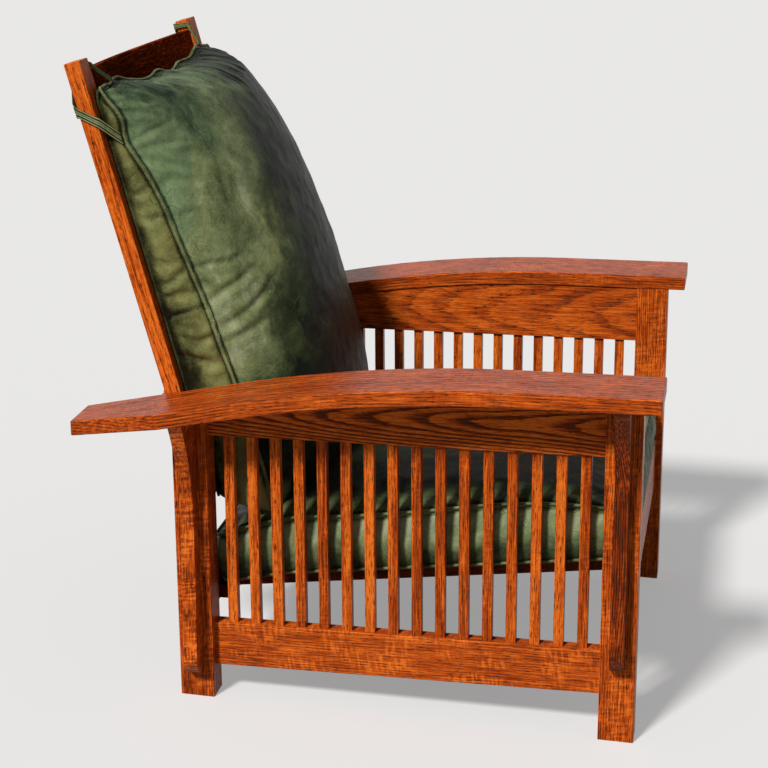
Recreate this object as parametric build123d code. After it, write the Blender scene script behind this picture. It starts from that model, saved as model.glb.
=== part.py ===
from math import asin, cos, degrees, radians, sin, sqrt, tan
import os

from build123d import *

os.makedirs("parts", exist_ok=True)

# A mission reclining armchair: bowed flat arms over spindle sides, a ladder back that swings
# between the arms on pins and leans on two pegs, and two leather cushions.
# Millimetres. Z is up, the floor is z = 0, the sitter faces -Y, and +X is the sitter's left.
# The origin is on the floor, under the middle of the chair's bounding box.

# The side frames are built square and then lean back by this angle. The feet are cut level.
frame_lean_deg = 1.8

# Legs. The right legs stand at -X, and the left ones mirror them.
frame_half_width = 363.0
frame_depth = 736.0
leg_thickness = 47.0
leg_depth = 56.0
leg_edge_ease = 1.6

# Arms: flat at the front, bent down along one arc, straight again behind it.
arm_inner_set_out = 1.0
arm_side_overhang = 77.0
arm_rear_narrowing = 39.0
arm_thickness = 24.0
arm_top_height = 578.0
arm_front_overhang = 30.0
arm_rear_overhang = 152.0
arm_bend_start_to_back = 540.0
arm_bend_radius = 2245.0
arm_bend_deg = 11.3
arm_edge_ease = 2.2
leg_stub_tenon_height = 14.0
leg_stub_tenon_inset = 10.0

# Side rails and the spindles between them
side_rail_thickness = 26.0
side_rail_recess = 17.0
lower_rail_bottom = 61.0
lower_rail_height = 74.0
upper_rail_drop = 123.5
rail_edge_ease = 1.6
rail_tenon_length = 24.0
rail_tenon_thickness = 12.0
rail_tenon_inset = 9.0
spindle_count = 16
spindle_size = 16.0
spindle_tenon_size = 10.0
spindle_tenon_length = 12.0
spindle_edge_ease = 1.0
tenon_pin_radius = 2.6
tenon_pin_length = 30.0

# Corbels: long brackets on the outer face of each leg, under the arm
corbel_thickness = 22.0
corbel_length = 442.0
corbel_top_reach = 74.0
corbel_waist_reach = 26.0
corbel_waist_drop = 165.0
corbel_foot_reach = 36.0
corbel_foot_rise = 32.0
corbel_foot_bulge = 5.0

# Front and back rails, with the cleats that carry the seat frame
cross_rail_thickness = 24.0
cross_rail_height = 92.0
front_rail_drop = 5.0
back_rail_rise = 39.1
front_rail_recess = 12.0
back_rail_recess = 20.0
cleat_depth = 24.0
cleat_height = 22.0
cleat_end_gap = 30.0
screw_count = 4
screw_radius = 2.2
screw_head_radius = 4.2
screw_head_height = 3.0
screw_bite = 14.0

# Seat frame, on a deck plane that drops towards the back
deck_back_drop = 386.2
deck_slope_deg = 6.62
seat_frame_side_gap = 26.0
seat_frame_front_gap = 7.0
seat_frame_back_gap = 16.0
seat_frame_member = 50.0
seat_frame_thickness = 22.0
seat_frame_tenon_length = 16.0
seat_slat_count = 7
seat_slat_width = 44.0
seat_slat_thickness = 10.0
seat_slat_seat = 14.0

# Seat cushion, a boxed leather cushion with a crowned top
seat_cushion_side_gap = 3.0
seat_cushion_front_set_in = 11.0
seat_cushion_back_set_in = 53.0
seat_cushion_height = 98.0
seat_cushion_clearance = 0.3
# Along the length: place, half width, underside, side seam and crown, as shares
seat_cushion_shares = (
    (0.000, 0.930, 0.26, 0.56, 0.64),
    (0.020, 0.970, 0.10, 0.74, 0.90),
    (0.060, 0.992, 0.02, 0.86, 1.07),
    (0.120, 0.996, 0.00, 0.94, 1.20),
    (0.200, 0.990, 0.00, 1.00, 1.29),
    (0.290, 0.984, 0.00, 1.03, 1.34),
    (0.390, 0.980, 0.00, 1.03, 1.36),
    (0.500, 0.979, 0.00, 1.02, 1.36),
    (0.610, 0.980, 0.00, 1.01, 1.34),
    (0.710, 0.984, 0.00, 0.99, 1.29),
    (0.800, 0.990, 0.00, 0.96, 1.21),
    (0.880, 0.996, 0.00, 0.89, 1.10),
    (0.940, 0.992, 0.02, 0.81, 0.98),
    (0.980, 0.970, 0.09, 0.70, 0.83),
    (1.000, 0.930, 0.24, 0.50, 0.58),
)

# Back frame: posts, curved slats and the pins that it swings on
pivot_set_in = 21.0
pivot_drop = 233.0
back_lean_deg = 17.02
post_side_gap = 2.6
post_width = 40.0
post_depth = 26.0
post_above_pivot = 699.0
post_below_pivot = 25.0
post_foot_radius = 11.0
post_edge_ease = 1.8
slat_thickness = 20.0
slat_face_recess = 4.0
slat_sag = 38.0
slat_height = 60.0
crest_height = 90.0
crest_drop = 19.0
lower_slat_count = 4
lower_slat_rise = 24.0
slat_edge_ease = 2.0
slat_tenon_length = 18.0
slat_tenon_thickness = 10.0
slat_tenon_inset = 8.0
slat_tenon_corner = 1.0
pivot_pin_radius = 6.0
pivot_pin_in_leg = 32.0
pivot_pin_in_post = 30.0
pivot_running_gap = 0.05
washer_radius = 13.0
washer_thickness = 2.0

# Pegs in the arms behind the posts, and the further holes that they can be moved to
peg_radius = 8.0
peg_hole_gap = 0.1
peg_hole_depth = 42.0
peg_shank_in_arm = 40.0
peg_head_radius = 12.0
peg_head_length = 18.0
peg_head_ease = 4.0
peg_rest_gap = 0.3
recline_steps_deg = (0.0, 9.5, 19.0, 28.0)

# Back cushion, a boxed leather cushion that leans on the slats
back_cushion_side_gap = 16.0
back_cushion_bottom = -84.0
back_cushion_height = 735.0
back_cushion_thickness = 204.0
cushion_to_post_gap = 0.3
cushion_to_cushion_gap = 0.6
# Up the height: place, half width, back face, side seam and crown, as shares
back_cushion_shares = (
    (0.000, 0.880, 0.26, 0.37, 0.46),
    (0.020, 0.930, 0.16, 0.41, 0.60),
    (0.060, 0.970, 0.07, 0.44, 0.77),
    (0.120, 0.985, 0.02, 0.45, 0.91),
    (0.200, 0.982, 0.01, 0.44, 0.98),
    (0.300, 0.976, 0.01, 0.42, 1.00),
    (0.410, 0.972, 0.01, 0.39, 0.99),
    (0.520, 0.970, 0.01, 0.35, 0.97),
    (0.620, 0.972, 0.01, 0.31, 0.93),
    (0.710, 0.976, 0.01, 0.26, 0.88),
    (0.800, 0.982, 0.01, 0.21, 0.81),
    (0.880, 0.986, 0.01, 0.15, 0.71),
    (0.940, 0.980, 0.02, 0.12, 0.59),
    (0.980, 0.965, 0.04, 0.11, 0.46),
    (1.000, 0.935, 0.08, 0.13, 0.32),
)
cushion_side_bulge_share = 0.10
cushion_seam_set_in_share = 0.018
# The crown is a broad arc between two shoulders, as shares of the half width and of the rise
cushion_shoulder_shares = (0.68, 0.72)
cushion_shoulder_middle_shares = (0.90, 0.38)

# Tie straps: each is sewn to a top corner of the back cushion and goes round a post
strap_thickness = 2.4
strap_width = 15.0
strap_gap = 1.4
# Stops of the loop, seen from above, as shares of the post's width and depth, and the
# height as a share of the post above the pivot
strap_stop_shares = (
    (0.20, -0.86, 0.928),
    (0.0, -0.06, 0.9785),
    (0.0, 0.13, 0.988),
    (0.0, 1.0, 0.990),
    (1.0, 1.0, 0.895),
    (1.0, 0.0, 0.858),
    (0.45, -0.66, 0.814),
)
strap_width_shares = (0.62, 0.55, 0.55, 0.62, 1.0, 1.0, 0.80)

overrun = 60.0


def block(x_low, x_high, y_low, y_high, z_low, z_high):
    """A box between two corners."""
    solid = Box(x_high - x_low, y_high - y_low, z_high - z_low)
    middle = ((x_low + x_high) / 2, (y_low + y_high) / 2, (z_low + z_high) / 2)
    return Pos(*middle) * solid


def side_prism(face, x_low, x_high):
    """Extrude a face drawn in (y, z) from x_low to x_high."""
    plane = Plane((x_low, 0, 0), x_dir=(0, 1, 0), z_dir=(1, 0, 0))
    return extrude(plane * face, x_high - x_low)


def rod(radius, x_low, x_high, y, z):
    """A round bar along X."""
    bar = Rot(Y=90) * Cylinder(radius, x_high - x_low)
    return Pos((x_low + x_high) / 2, y, z) * bar


def eased(solid, axis, size):
    """Round the edges that run along one axis."""
    return fillet(solid.edges().filter_by(axis), size)


def mirrored(solid):
    """The left-hand copy of a right-hand piece."""
    return mirror(solid, Plane.YZ)


# Places in the square side frame
leg_outer_x = -frame_half_width
leg_inner_x = leg_outer_x + leg_thickness
front_y = -frame_depth / 2
back_y = frame_depth / 2
front_leg_back_y = front_y + leg_depth
back_leg_front_y = back_y - leg_depth
rail_outer_x = leg_outer_x + side_rail_recess
rail_inner_x = rail_outer_x + side_rail_thickness
rail_middle_x = (rail_outer_x + rail_inner_x) / 2
arm_inner_x = -leg_inner_x + arm_inner_set_out
arm_outer_x = frame_half_width + arm_side_overhang
arm_rear_outer_x = arm_outer_x - arm_rear_narrowing
arm_bend_start_y = back_y - arm_bend_start_to_back
bend_end_y = arm_bend_start_y + arm_bend_radius * sin(radians(arm_bend_deg))
arm_front_y = front_y - arm_front_overhang
arm_back_y = back_y + arm_rear_overhang
upper_rail_bottom = arm_top_height - upper_rail_drop
pivot_y = back_y - pivot_set_in
pivot_z = arm_top_height - pivot_drop
deck_height = arm_top_height - deck_back_drop + back_y * tan(radians(deck_slope_deg))
front_rail_face_y = front_y + front_rail_recess + cross_rail_thickness
back_rail_face_y = back_y - back_rail_recess - cross_rail_thickness
seat_frame_half_width = -leg_inner_x - seat_frame_side_gap
seat_frame_front_y = front_rail_face_y + seat_frame_front_gap
seat_frame_back_y = back_rail_face_y - seat_frame_back_gap
seat_cushion_half_width = -leg_inner_x - seat_cushion_side_gap
seat_cushion_front_y = front_y + seat_cushion_front_set_in
seat_cushion_length = frame_depth - seat_cushion_front_set_in - seat_cushion_back_set_in
back_cushion_half_width = -leg_inner_x - back_cushion_side_gap


def arm_line_height(y, depth):
    """Height of a line that runs inside the arm, at a depth below its top."""
    radius = arm_bend_radius - depth
    start_height = arm_top_height - depth
    bend_end = arm_bend_start_y + radius * sin(radians(arm_bend_deg))
    if y <= arm_bend_start_y:
        return start_height
    if y <= bend_end:
        return start_height - radius + sqrt(radius**2 - (y - arm_bend_start_y) ** 2)
    bend_drop = radius * (1 - cos(radians(arm_bend_deg)))
    return start_height - bend_drop - (y - bend_end) * tan(radians(arm_bend_deg))


def arm_line(depth, y_first, y_last):
    """Edges along the arm at a depth below its top: straight, arc, straight."""
    radius = arm_bend_radius - depth
    bend_end = arm_bend_start_y + radius * sin(radians(arm_bend_deg))
    bend_middle = arm_bend_start_y + radius * sin(radians(arm_bend_deg / 2))
    places = (y_first, arm_bend_start_y, bend_middle, bend_end, y_last)
    points = [(y, arm_line_height(y, depth)) for y in places]
    front = Line(points[0], points[1])
    bend = ThreePointArc(points[1], points[2], points[3])
    rear = Line(points[3], points[4])
    return [front, bend, rear], points[0], points[4]


def arm_profile():
    """The arm's side outline, a bent board of even thickness."""
    top, top_front, top_back = arm_line(0, arm_front_y, arm_back_y)
    below, below_front, below_back = arm_line(arm_thickness, arm_front_y, arm_back_y)
    ends = [Line(top_front, below_front), Line(top_back, below_back)]
    return make_face(top + below + ends)


def under_arm_space():
    """All the space below the arms, which legs, rails and corbels are trimmed to."""
    low = -overrun
    line, front, back = arm_line(arm_thickness, arm_front_y - overrun, arm_back_y + overrun)
    front_low = (front[0], low)
    back_low = (back[0], low)
    sides = [Line(front, front_low), Line(front_low, back_low), Line(back_low, back)]
    return side_prism(make_face(line + sides), -arm_outer_x - overrun, arm_outer_x + overrun)


under_arms = under_arm_space()


def recline_hole(step_deg):
    """Centre (y, z) of the peg hole that holds the back at a step of recline."""
    lean = radians(back_lean_deg - frame_lean_deg + step_deg)
    pivot = pivot_in_frame()
    offset = post_depth / 2 + peg_rest_gap + peg_radius
    slope = tan(radians(arm_bend_deg))
    middle_depth = arm_thickness / 2
    base_height = arm_line_height(bend_end_y, middle_depth)
    across = cos(lean) + slope * sin(lean)
    rise = (base_height + slope * bend_end_y - pivot[1]) * sin(lean)
    y = (offset + pivot[0] * cos(lean) + rise) / across
    return y, arm_line_height(y, middle_depth)


def pivot_in_frame():
    """The pivot's (y, z) before the side frames lean back."""
    lean = radians(frame_lean_deg)
    y = pivot_y * cos(lean) - pivot_z * sin(lean)
    z = pivot_z * cos(lean) + pivot_y * sin(lean)
    return y, z


def make_arm():
    """The right arm, with its holes and mortises."""
    arm = side_prism(arm_profile(), -arm_outer_x, -arm_inner_x)
    taper = make_face(
        Polyline(
            (-arm_outer_x, back_y),
            (-arm_rear_outer_x, arm_back_y),
            (-arm_rear_outer_x, arm_back_y + overrun),
            (-arm_outer_x - overrun, arm_back_y + overrun),
            (-arm_outer_x - overrun, back_y),
            close=True,
        )
    )
    arm = arm - extrude(taper, arm_top_height + overrun)
    arm = fillet(arm.edges(), arm_edge_ease)
    for step_deg in recline_steps_deg:
        y, z = recline_hole(step_deg)
        hole_radius = peg_radius + peg_hole_gap
        arm = arm - rod(hole_radius, -arm_inner_x - peg_hole_depth, -arm_inner_x + overrun, y, z)
    for stub in (leg_stub(front_y), leg_stub(back_leg_front_y)):
        arm = arm - stub
    return arm


def leg_stub(leg_front_y):
    """The short tenon on a right leg's head, which sits in the arm."""
    middle_y = leg_front_y + leg_depth / 2
    head = arm_line_height(middle_y, arm_thickness)
    return block(
        leg_outer_x + leg_stub_tenon_inset,
        leg_inner_x - leg_stub_tenon_inset,
        leg_front_y + leg_stub_tenon_inset,
        leg_front_y + leg_depth - leg_stub_tenon_inset,
        head - overrun,
        head + leg_stub_tenon_height,
    )


def make_leg(leg_front_y):
    """A right leg, trimmed to the arm's underside."""
    top = arm_top_height + overrun
    leg = block(
        leg_outer_x, leg_inner_x, leg_front_y, leg_front_y + leg_depth, -overrun, top
    )
    leg = eased(leg, Axis.Z, leg_edge_ease)
    return (leg & under_arms) + leg_stub(leg_front_y)


def rail_body(bottom, top, y_low, y_high):
    """A right side rail without its tenons."""
    rail = block(rail_outer_x, rail_inner_x, y_low, y_high, bottom, top)
    return eased(rail, Axis.Y, rail_edge_ease)


def rail_tenons(bottom, front_top, back_top):
    """The tenons at both ends of a right side rail."""
    x_low = rail_middle_x - rail_tenon_thickness / 2
    x_high = rail_middle_x + rail_tenon_thickness / 2
    low = bottom + rail_tenon_inset
    front_end = front_leg_back_y - rail_tenon_length
    back_end = back_leg_front_y + rail_tenon_length
    front = block(x_low, x_high, front_end, front_leg_back_y, low, front_top - rail_tenon_inset)
    back = block(x_low, x_high, back_leg_front_y, back_end, low, back_top - rail_tenon_inset)
    return [front, back]


def make_lower_rail():
    """The right lower side rail."""
    top = lower_rail_bottom + lower_rail_height
    rail = rail_body(lower_rail_bottom, top, front_leg_back_y, back_leg_front_y)
    for tenon in rail_tenons(lower_rail_bottom, top, top):
        rail = rail + tenon
    return rail


def make_upper_rail():
    """The right upper side rail, whose top edge follows the bowed arm."""
    top = arm_top_height + overrun
    rail = block(
        rail_outer_x, rail_inner_x, front_leg_back_y, back_leg_front_y, upper_rail_bottom, top
    )
    lower_edges = rail.edges().filter_by(Axis.Y).sort_by(Axis.Z)[:2]
    rail = fillet(lower_edges, rail_edge_ease) & under_arms
    front_top = arm_line_height(front_leg_back_y, arm_thickness)
    back_top = arm_line_height(back_leg_front_y + rail_tenon_length, arm_thickness)
    for tenon in rail_tenons(upper_rail_bottom, front_top, back_top):
        rail = rail + tenon
    return rail


def spindle_places():
    """Middle y of each spindle, evenly spaced between the legs."""
    opening = back_leg_front_y - front_leg_back_y
    gap = (opening - spindle_count * spindle_size) / (spindle_count + 1)
    first = front_leg_back_y + gap + spindle_size / 2
    return [first + i * (spindle_size + gap) for i in range(spindle_count)]


def square_bar(size, y, z_low, z_high):
    """An upright square bar in the middle of the right side rails."""
    half = size / 2
    return block(rail_middle_x - half, rail_middle_x + half, y - half, y + half, z_low, z_high)


def make_spindles():
    """The right side's spindles, each with a tenon at both ends."""
    low = lower_rail_bottom + lower_rail_height
    spindles = []
    for y in spindle_places():
        bar = eased(square_bar(spindle_size, y, low, upper_rail_bottom), Axis.Z, spindle_edge_ease)
        core = square_bar(
            spindle_tenon_size, y, low - spindle_tenon_length, upper_rail_bottom + spindle_tenon_length
        )
        spindles.append(bar + core)
    return spindles


def make_tenon_pins():
    """Small pins from the right legs' outer faces through the side rails' tenons."""
    lower_z = lower_rail_bottom + lower_rail_height / 2
    pins = []
    for shoulder_y, inward in ((front_leg_back_y, -1), (back_leg_front_y, 1)):
        pin_y = shoulder_y + inward * rail_tenon_length / 2
        rail_top = arm_line_height(pin_y, arm_thickness)
        for pin_z in (lower_z, (upper_rail_bottom + rail_top) / 2):
            end_x = leg_outer_x + tenon_pin_length
            pins.append(rod(tenon_pin_radius, leg_outer_x, end_x, pin_y, pin_z))
    return pins


def tangent_sagitta(first, last):
    """Middle of an arc between two points that leaves the first one vertically."""
    run = last[0] - first[0]
    drop = first[1] - last[1]
    radius = (drop**2 + run**2) / (2 * run)
    half_turn = asin(min(abs(drop / radius), 1)) / 2
    x = first[0] + radius * (1 - cos(half_turn))
    z = first[1] - (drop / abs(drop)) * abs(radius) * sin(half_turn)
    return x, z


def make_corbel(leg_front_y):
    """A right corbel, trimmed to the arm's underside."""
    middle_y = leg_front_y + leg_depth / 2
    head = arm_line_height(middle_y, arm_thickness)
    waist = (corbel_waist_reach, head - corbel_waist_drop)
    top = (corbel_top_reach, head)
    foot = (corbel_foot_reach, head - corbel_length + corbel_foot_rise)
    tip = (0, head - corbel_length)
    foot_middle = ((foot[0] + tip[0]) / 2 + corbel_foot_bulge, (foot[1] + tip[1]) / 2)
    top_reach = (corbel_top_reach, head + overrun)
    root = (0, head + overrun)
    outline = [
        Line(root, top_reach),
        Line(top_reach, top),
        ThreePointArc(top, tangent_sagitta(waist, top), waist),
        ThreePointArc(waist, tangent_sagitta(waist, foot), foot),
        ThreePointArc(foot, (foot_middle[0], foot_middle[1] - corbel_foot_bulge), tip),
        Line(tip, root),
    ]
    plane = Plane(
        (leg_outer_x, middle_y + corbel_thickness / 2, 0), x_dir=(-1, 0, 0), z_dir=(0, 1, 0)
    )
    return extrude(plane * make_face(outline), -corbel_thickness) & under_arms


def seat_place():
    """The deck plane, which drops towards the back."""
    return Pos(0, 0, deck_height) * Rot(X=-deck_slope_deg)


def deck_top(y):
    """Height of the deck plane at a place y in the side frame."""
    return deck_height - y * tan(radians(deck_slope_deg))


def deck_underside(y):
    """Height of the seat frame's underside at a place y in the side frame."""
    return deck_top(y) - seat_frame_thickness / cos(radians(deck_slope_deg))


def make_cross_rail(y_low, top):
    """A front or back rail between the legs, with tenons into them."""
    y_high = y_low + cross_rail_thickness
    bottom = top - cross_rail_height
    rail = block(leg_inner_x, -leg_inner_x, y_low, y_high, bottom, top)
    rail = eased(rail, Axis.X, rail_edge_ease)
    middle_y = (y_low + y_high) / 2
    reach = -leg_inner_x + rail_tenon_length
    tenon = block(
        -reach,
        reach,
        middle_y - rail_tenon_thickness / 2,
        middle_y + rail_tenon_thickness / 2,
        bottom + rail_tenon_inset,
        top - rail_tenon_inset,
    )
    return rail + tenon


def make_cleat(rail_face_y, inward):
    """A cleat on a cross rail's inner face, with its top on the seat frame's underside."""
    edge_y = rail_face_y + inward * cleat_depth
    low = min(deck_underside(rail_face_y), deck_underside(edge_y)) - cleat_height
    outline = Polyline(
        (rail_face_y, low),
        (edge_y, low),
        (edge_y, deck_underside(edge_y)),
        (rail_face_y, deck_underside(rail_face_y)),
        close=True,
    )
    reach = -leg_inner_x - cleat_end_gap
    return side_prism(make_face(outline), -reach, reach), low + cleat_height / 2


def cleat_screw_places():
    """Middle x of each cleat screw."""
    reach = -leg_inner_x - cleat_end_gap * 2
    pitch = 2 * reach / (screw_count - 1)
    return [-reach + i * pitch for i in range(screw_count)]


def make_cleat_screws(rail_face_y, inward, z):
    """Countersunk screws through a cleat into its rail."""
    length = cleat_depth + screw_bite
    screws = []
    for x in cleat_screw_places():
        shank = Pos(0, 0, -length / 2) * Cylinder(screw_radius, length)
        head = Pos(0, 0, -screw_head_height / 2) * Cone(
            screw_radius, screw_head_radius, screw_head_height
        )
        turn = Rot(X=-90 * inward)
        screws.append(Pos(x, rail_face_y + inward * cleat_depth, z) * turn * (shank + head))
    return screws


def make_seat_frame():
    """The four members of the drop-in seat frame and its slats, on the deck plane."""
    under = -seat_frame_thickness
    wide = seat_frame_half_width
    member = seat_frame_member
    tenon_low = under + seat_frame_thickness / 3
    tenon_high = under + seat_frame_thickness * 2 / 3
    inner_front = seat_frame_front_y + member
    inner_back = seat_frame_back_y - member
    side = block(-wide, -wide + member, inner_front, inner_back, under, 0)
    side = side + block(
        -wide + member / 4,
        -wide + member * 3 / 4,
        inner_front - seat_frame_tenon_length,
        inner_back + seat_frame_tenon_length,
        tenon_low,
        tenon_high,
    )
    rabbet = block(
        -wide + member - seat_slat_seat,
        -wide + member + overrun,
        inner_front,
        inner_back,
        -seat_slat_thickness,
        overrun,
    )
    right = side - rabbet
    left = mirrored(right)
    front = block(-wide, wide, seat_frame_front_y, inner_front, under, 0) - right - left
    back = block(-wide, wide, inner_back, seat_frame_back_y, under, 0) - right - left
    reach = wide - member + seat_slat_seat
    run = inner_back - inner_front
    gap = (run - seat_slat_count * seat_slat_width) / (seat_slat_count + 1)
    slats = []
    for i in range(seat_slat_count):
        low_y = inner_front + gap + i * (seat_slat_width + gap)
        slats.append(block(-reach, reach, low_y, low_y + seat_slat_width, -seat_slat_thickness, 0))
    return front, back, right, left, slats


def cushion_section(plane, half_width, low, seam, crown):
    """One closed section of a boxed cushion: flat below, bulged sides, crowned above."""
    rise = crown - seam
    inset = half_width * cushion_seam_set_in_share
    bulge = (seam - low) * cushion_side_bulge_share
    edge = half_width - inset
    middle = (low + seam) / 2
    base = Line((-edge, low), (edge, low))
    right = ThreePointArc((edge, low), (edge + bulge, middle), (edge, seam))
    shoulder = (edge * cushion_shoulder_shares[0], seam + rise * cushion_shoulder_shares[1])
    across, up = cushion_shoulder_middle_shares
    turn = (edge * across, seam + rise * up)
    right_top = ThreePointArc((edge, seam), turn, shoulder)
    top = ThreePointArc(shoulder, (0, crown), (-shoulder[0], shoulder[1]))
    left_top = ThreePointArc((-shoulder[0], shoulder[1]), (-turn[0], turn[1]), (-edge, seam))
    left = ThreePointArc((-edge, seam), (-edge - bulge, middle), (-edge, low))
    return plane * make_face([base, right, right_top, top, left_top, left])


def make_seat_cushion():
    """The seat cushion, on the deck plane."""
    sections = []
    for place, wide, low, seam, crown in seat_cushion_shares:
        y = seat_cushion_front_y + place * seat_cushion_length
        plane = Plane((0, y, 0), x_dir=(1, 0, 0), z_dir=(0, -1, 0))
        heights = [share * seat_cushion_height for share in (low, seam, crown)]
        sections.append(cushion_section(plane, wide * seat_cushion_half_width, *heights))
    cushion = loft(sections)
    lowest = cushion.bounding_box().min.Z
    return Pos(0, 0, seat_cushion_clearance - lowest) * cushion


def make_back_cushion():
    """The back cushion, in the back frame's own upright frame."""
    sections = []
    for place, wide, low, seam, crown in back_cushion_shares:
        z = back_cushion_bottom + place * back_cushion_height
        plane = Plane((0, 0, z), x_dir=(1, 0, 0), z_dir=(0, 0, -1))
        depths = [share * back_cushion_thickness for share in (low, seam, crown)]
        sections.append(cushion_section(plane, wide * back_cushion_half_width, *depths))
    cushion = loft(sections)
    rearmost = cushion.bounding_box().max.Y
    return Pos(0, -post_depth / 2 - cushion_to_post_gap - rearmost, 0) * cushion


# Places in the back frame's own frame: origin on the pivot axis, Z up along the posts
post_outer_x = leg_inner_x + post_side_gap
post_inner_x = post_outer_x + post_width


def bent_bar(inner_radius, bar_thickness, bar_height, corner, half_length):
    """A bar bent round the Z axis, centred on +Y, with its lower edge on z = 0."""
    half_turn = degrees(asin(half_length / inner_radius))
    section = RectangleRounded(bar_thickness, bar_height, corner)
    face = Plane.XZ * Pos(inner_radius + bar_thickness / 2, bar_height / 2) * section
    return Rot(Z=90 - half_turn) * revolve(face, Axis.Z, 2 * half_turn)


def make_slat(bottom, height):
    """A curved slat between the posts, let into them a little, with a tenon at each end."""
    reach = -post_inner_x
    front_end_y = -post_depth / 2 + slat_face_recess
    inner_radius = (reach**2 + slat_sag**2) / (2 * slat_sag)
    centre_y = front_end_y + slat_sag - inner_radius
    shoulder = (slat_thickness - slat_tenon_thickness) / 2
    tenon_height = height - 2 * slat_tenon_inset
    body = bent_bar(inner_radius, slat_thickness, height, slat_edge_ease, reach)
    tenon = bent_bar(
        inner_radius + shoulder,
        slat_tenon_thickness,
        tenon_height,
        slat_tenon_corner,
        reach + slat_tenon_length,
    )
    return Pos(0, centre_y, bottom) * (body + Pos(0, 0, slat_tenon_inset) * tenon)


def make_slats():
    """The bottom rail, three slats and the crest, evenly spaced up the posts."""
    crest_bottom = post_above_pivot - crest_drop - crest_height
    run = crest_bottom - lower_slat_rise
    pitch = run / lower_slat_count
    slats = [make_slat(lower_slat_rise + i * pitch, slat_height) for i in range(lower_slat_count)]
    return slats + [make_slat(crest_bottom, crest_height)]


def make_post(slats, pin):
    """The right back post."""
    post = block(
        post_outer_x,
        post_inner_x,
        -post_depth / 2,
        post_depth / 2,
        -post_below_pivot,
        post_above_pivot,
    )
    foot = post.edges().filter_by(Axis.X).sort_by(Axis.Z)[:2]
    post = fillet(foot, post_foot_radius)
    uprights = post.edges().filter_by(Axis.Z)
    rim = post.edges().group_by(Axis.Z)[-1]
    post = fillet(uprights + rim, post_edge_ease)
    for slat in slats:
        post = post - slat
    return post - pin


def make_pivot_pin():
    """The right pivot pin: fast in the post, running in the leg."""
    low = leg_inner_x - pivot_pin_in_leg
    return rod(pivot_pin_radius, low, post_outer_x + pivot_pin_in_post, 0, 0)


def make_washer():
    """The right washer, between the post and the leg."""
    disc = rod(washer_radius, post_outer_x - washer_thickness, post_outer_x, 0, 0)
    hole = rod(pivot_pin_radius, leg_inner_x, post_outer_x, 0, 0)
    return disc - hole


def strap_corners(point, tangent, half_width):
    """The four corners of an upright section of a strap, square to its way in plan."""
    normal = (-tangent[1], tangent[0])
    half = strap_thickness / 2
    turns = ((-half, -half_width), (half, -half_width), (half, half_width), (-half, half_width))
    x, y, z = point
    return [(x + normal[0] * side, y + normal[1] * side, z + up) for side, up in turns]


def strap_stops():
    """Points along the middle of the right strap."""
    stand_off = strap_gap + strap_thickness / 2
    points = []
    for x_share, y_share, z_share in strap_stop_shares:
        x = post_inner_x + stand_off - x_share * (post_width + 2 * stand_off)
        y = -post_depth / 2 - stand_off + y_share * (post_depth + 2 * stand_off)
        points.append((x, y, z_share * post_above_pivot))
    return points


def plan_direction(start, end):
    """Direction in plan from one point to another."""
    run = (end[0] - start[0], end[1] - start[1])
    size = sqrt(run[0] ** 2 + run[1] ** 2)
    return (run[0] / size, run[1] / size)


def make_strap():
    """The right tie strap, in the back frame's own frame, mitred at each stop."""
    points = strap_stops()
    legs = [plan_direction(points[i], points[i + 1]) for i in range(len(points) - 1)]
    rings = []
    for i, point in enumerate(points):
        run_in = legs[max(i - 1, 0)]
        run_out = legs[min(i, len(legs) - 1)]
        mitre = plan_direction((-run_in[0], -run_in[1]), run_out)
        half_width = strap_width * strap_width_shares[i] / 2
        rings.append(strap_corners(point, mitre, half_width))
    corner_count = len(rings[0])
    loops = [rings[0], rings[-1]]
    for low_ring, high_ring in zip(rings, rings[1:]):
        for i in range(corner_count):
            j = (i + 1) % corner_count
            loops.append([low_ring[i], low_ring[j], high_ring[j]])
            loops.append([low_ring[i], high_ring[j], high_ring[i]])
    faces = [make_face(Polyline(*loop, close=True)).face() for loop in loops]
    return Solid(Shell(faces))


def make_peg():
    """The right support peg, in the side frame: its shank in the arm and a turned head."""
    y, z = recline_hole(recline_steps_deg[0])
    shank_low = -arm_inner_x - peg_shank_in_arm
    head_low = post_inner_x + post_side_gap
    shank = rod(peg_radius, shank_low, head_low + peg_head_length / 2, y, z)
    head = rod(peg_head_radius, head_low, head_low + peg_head_length, y, z)
    return shank + fillet(head.edges().filter_by(GeomType.CIRCLE), peg_head_ease)


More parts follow.
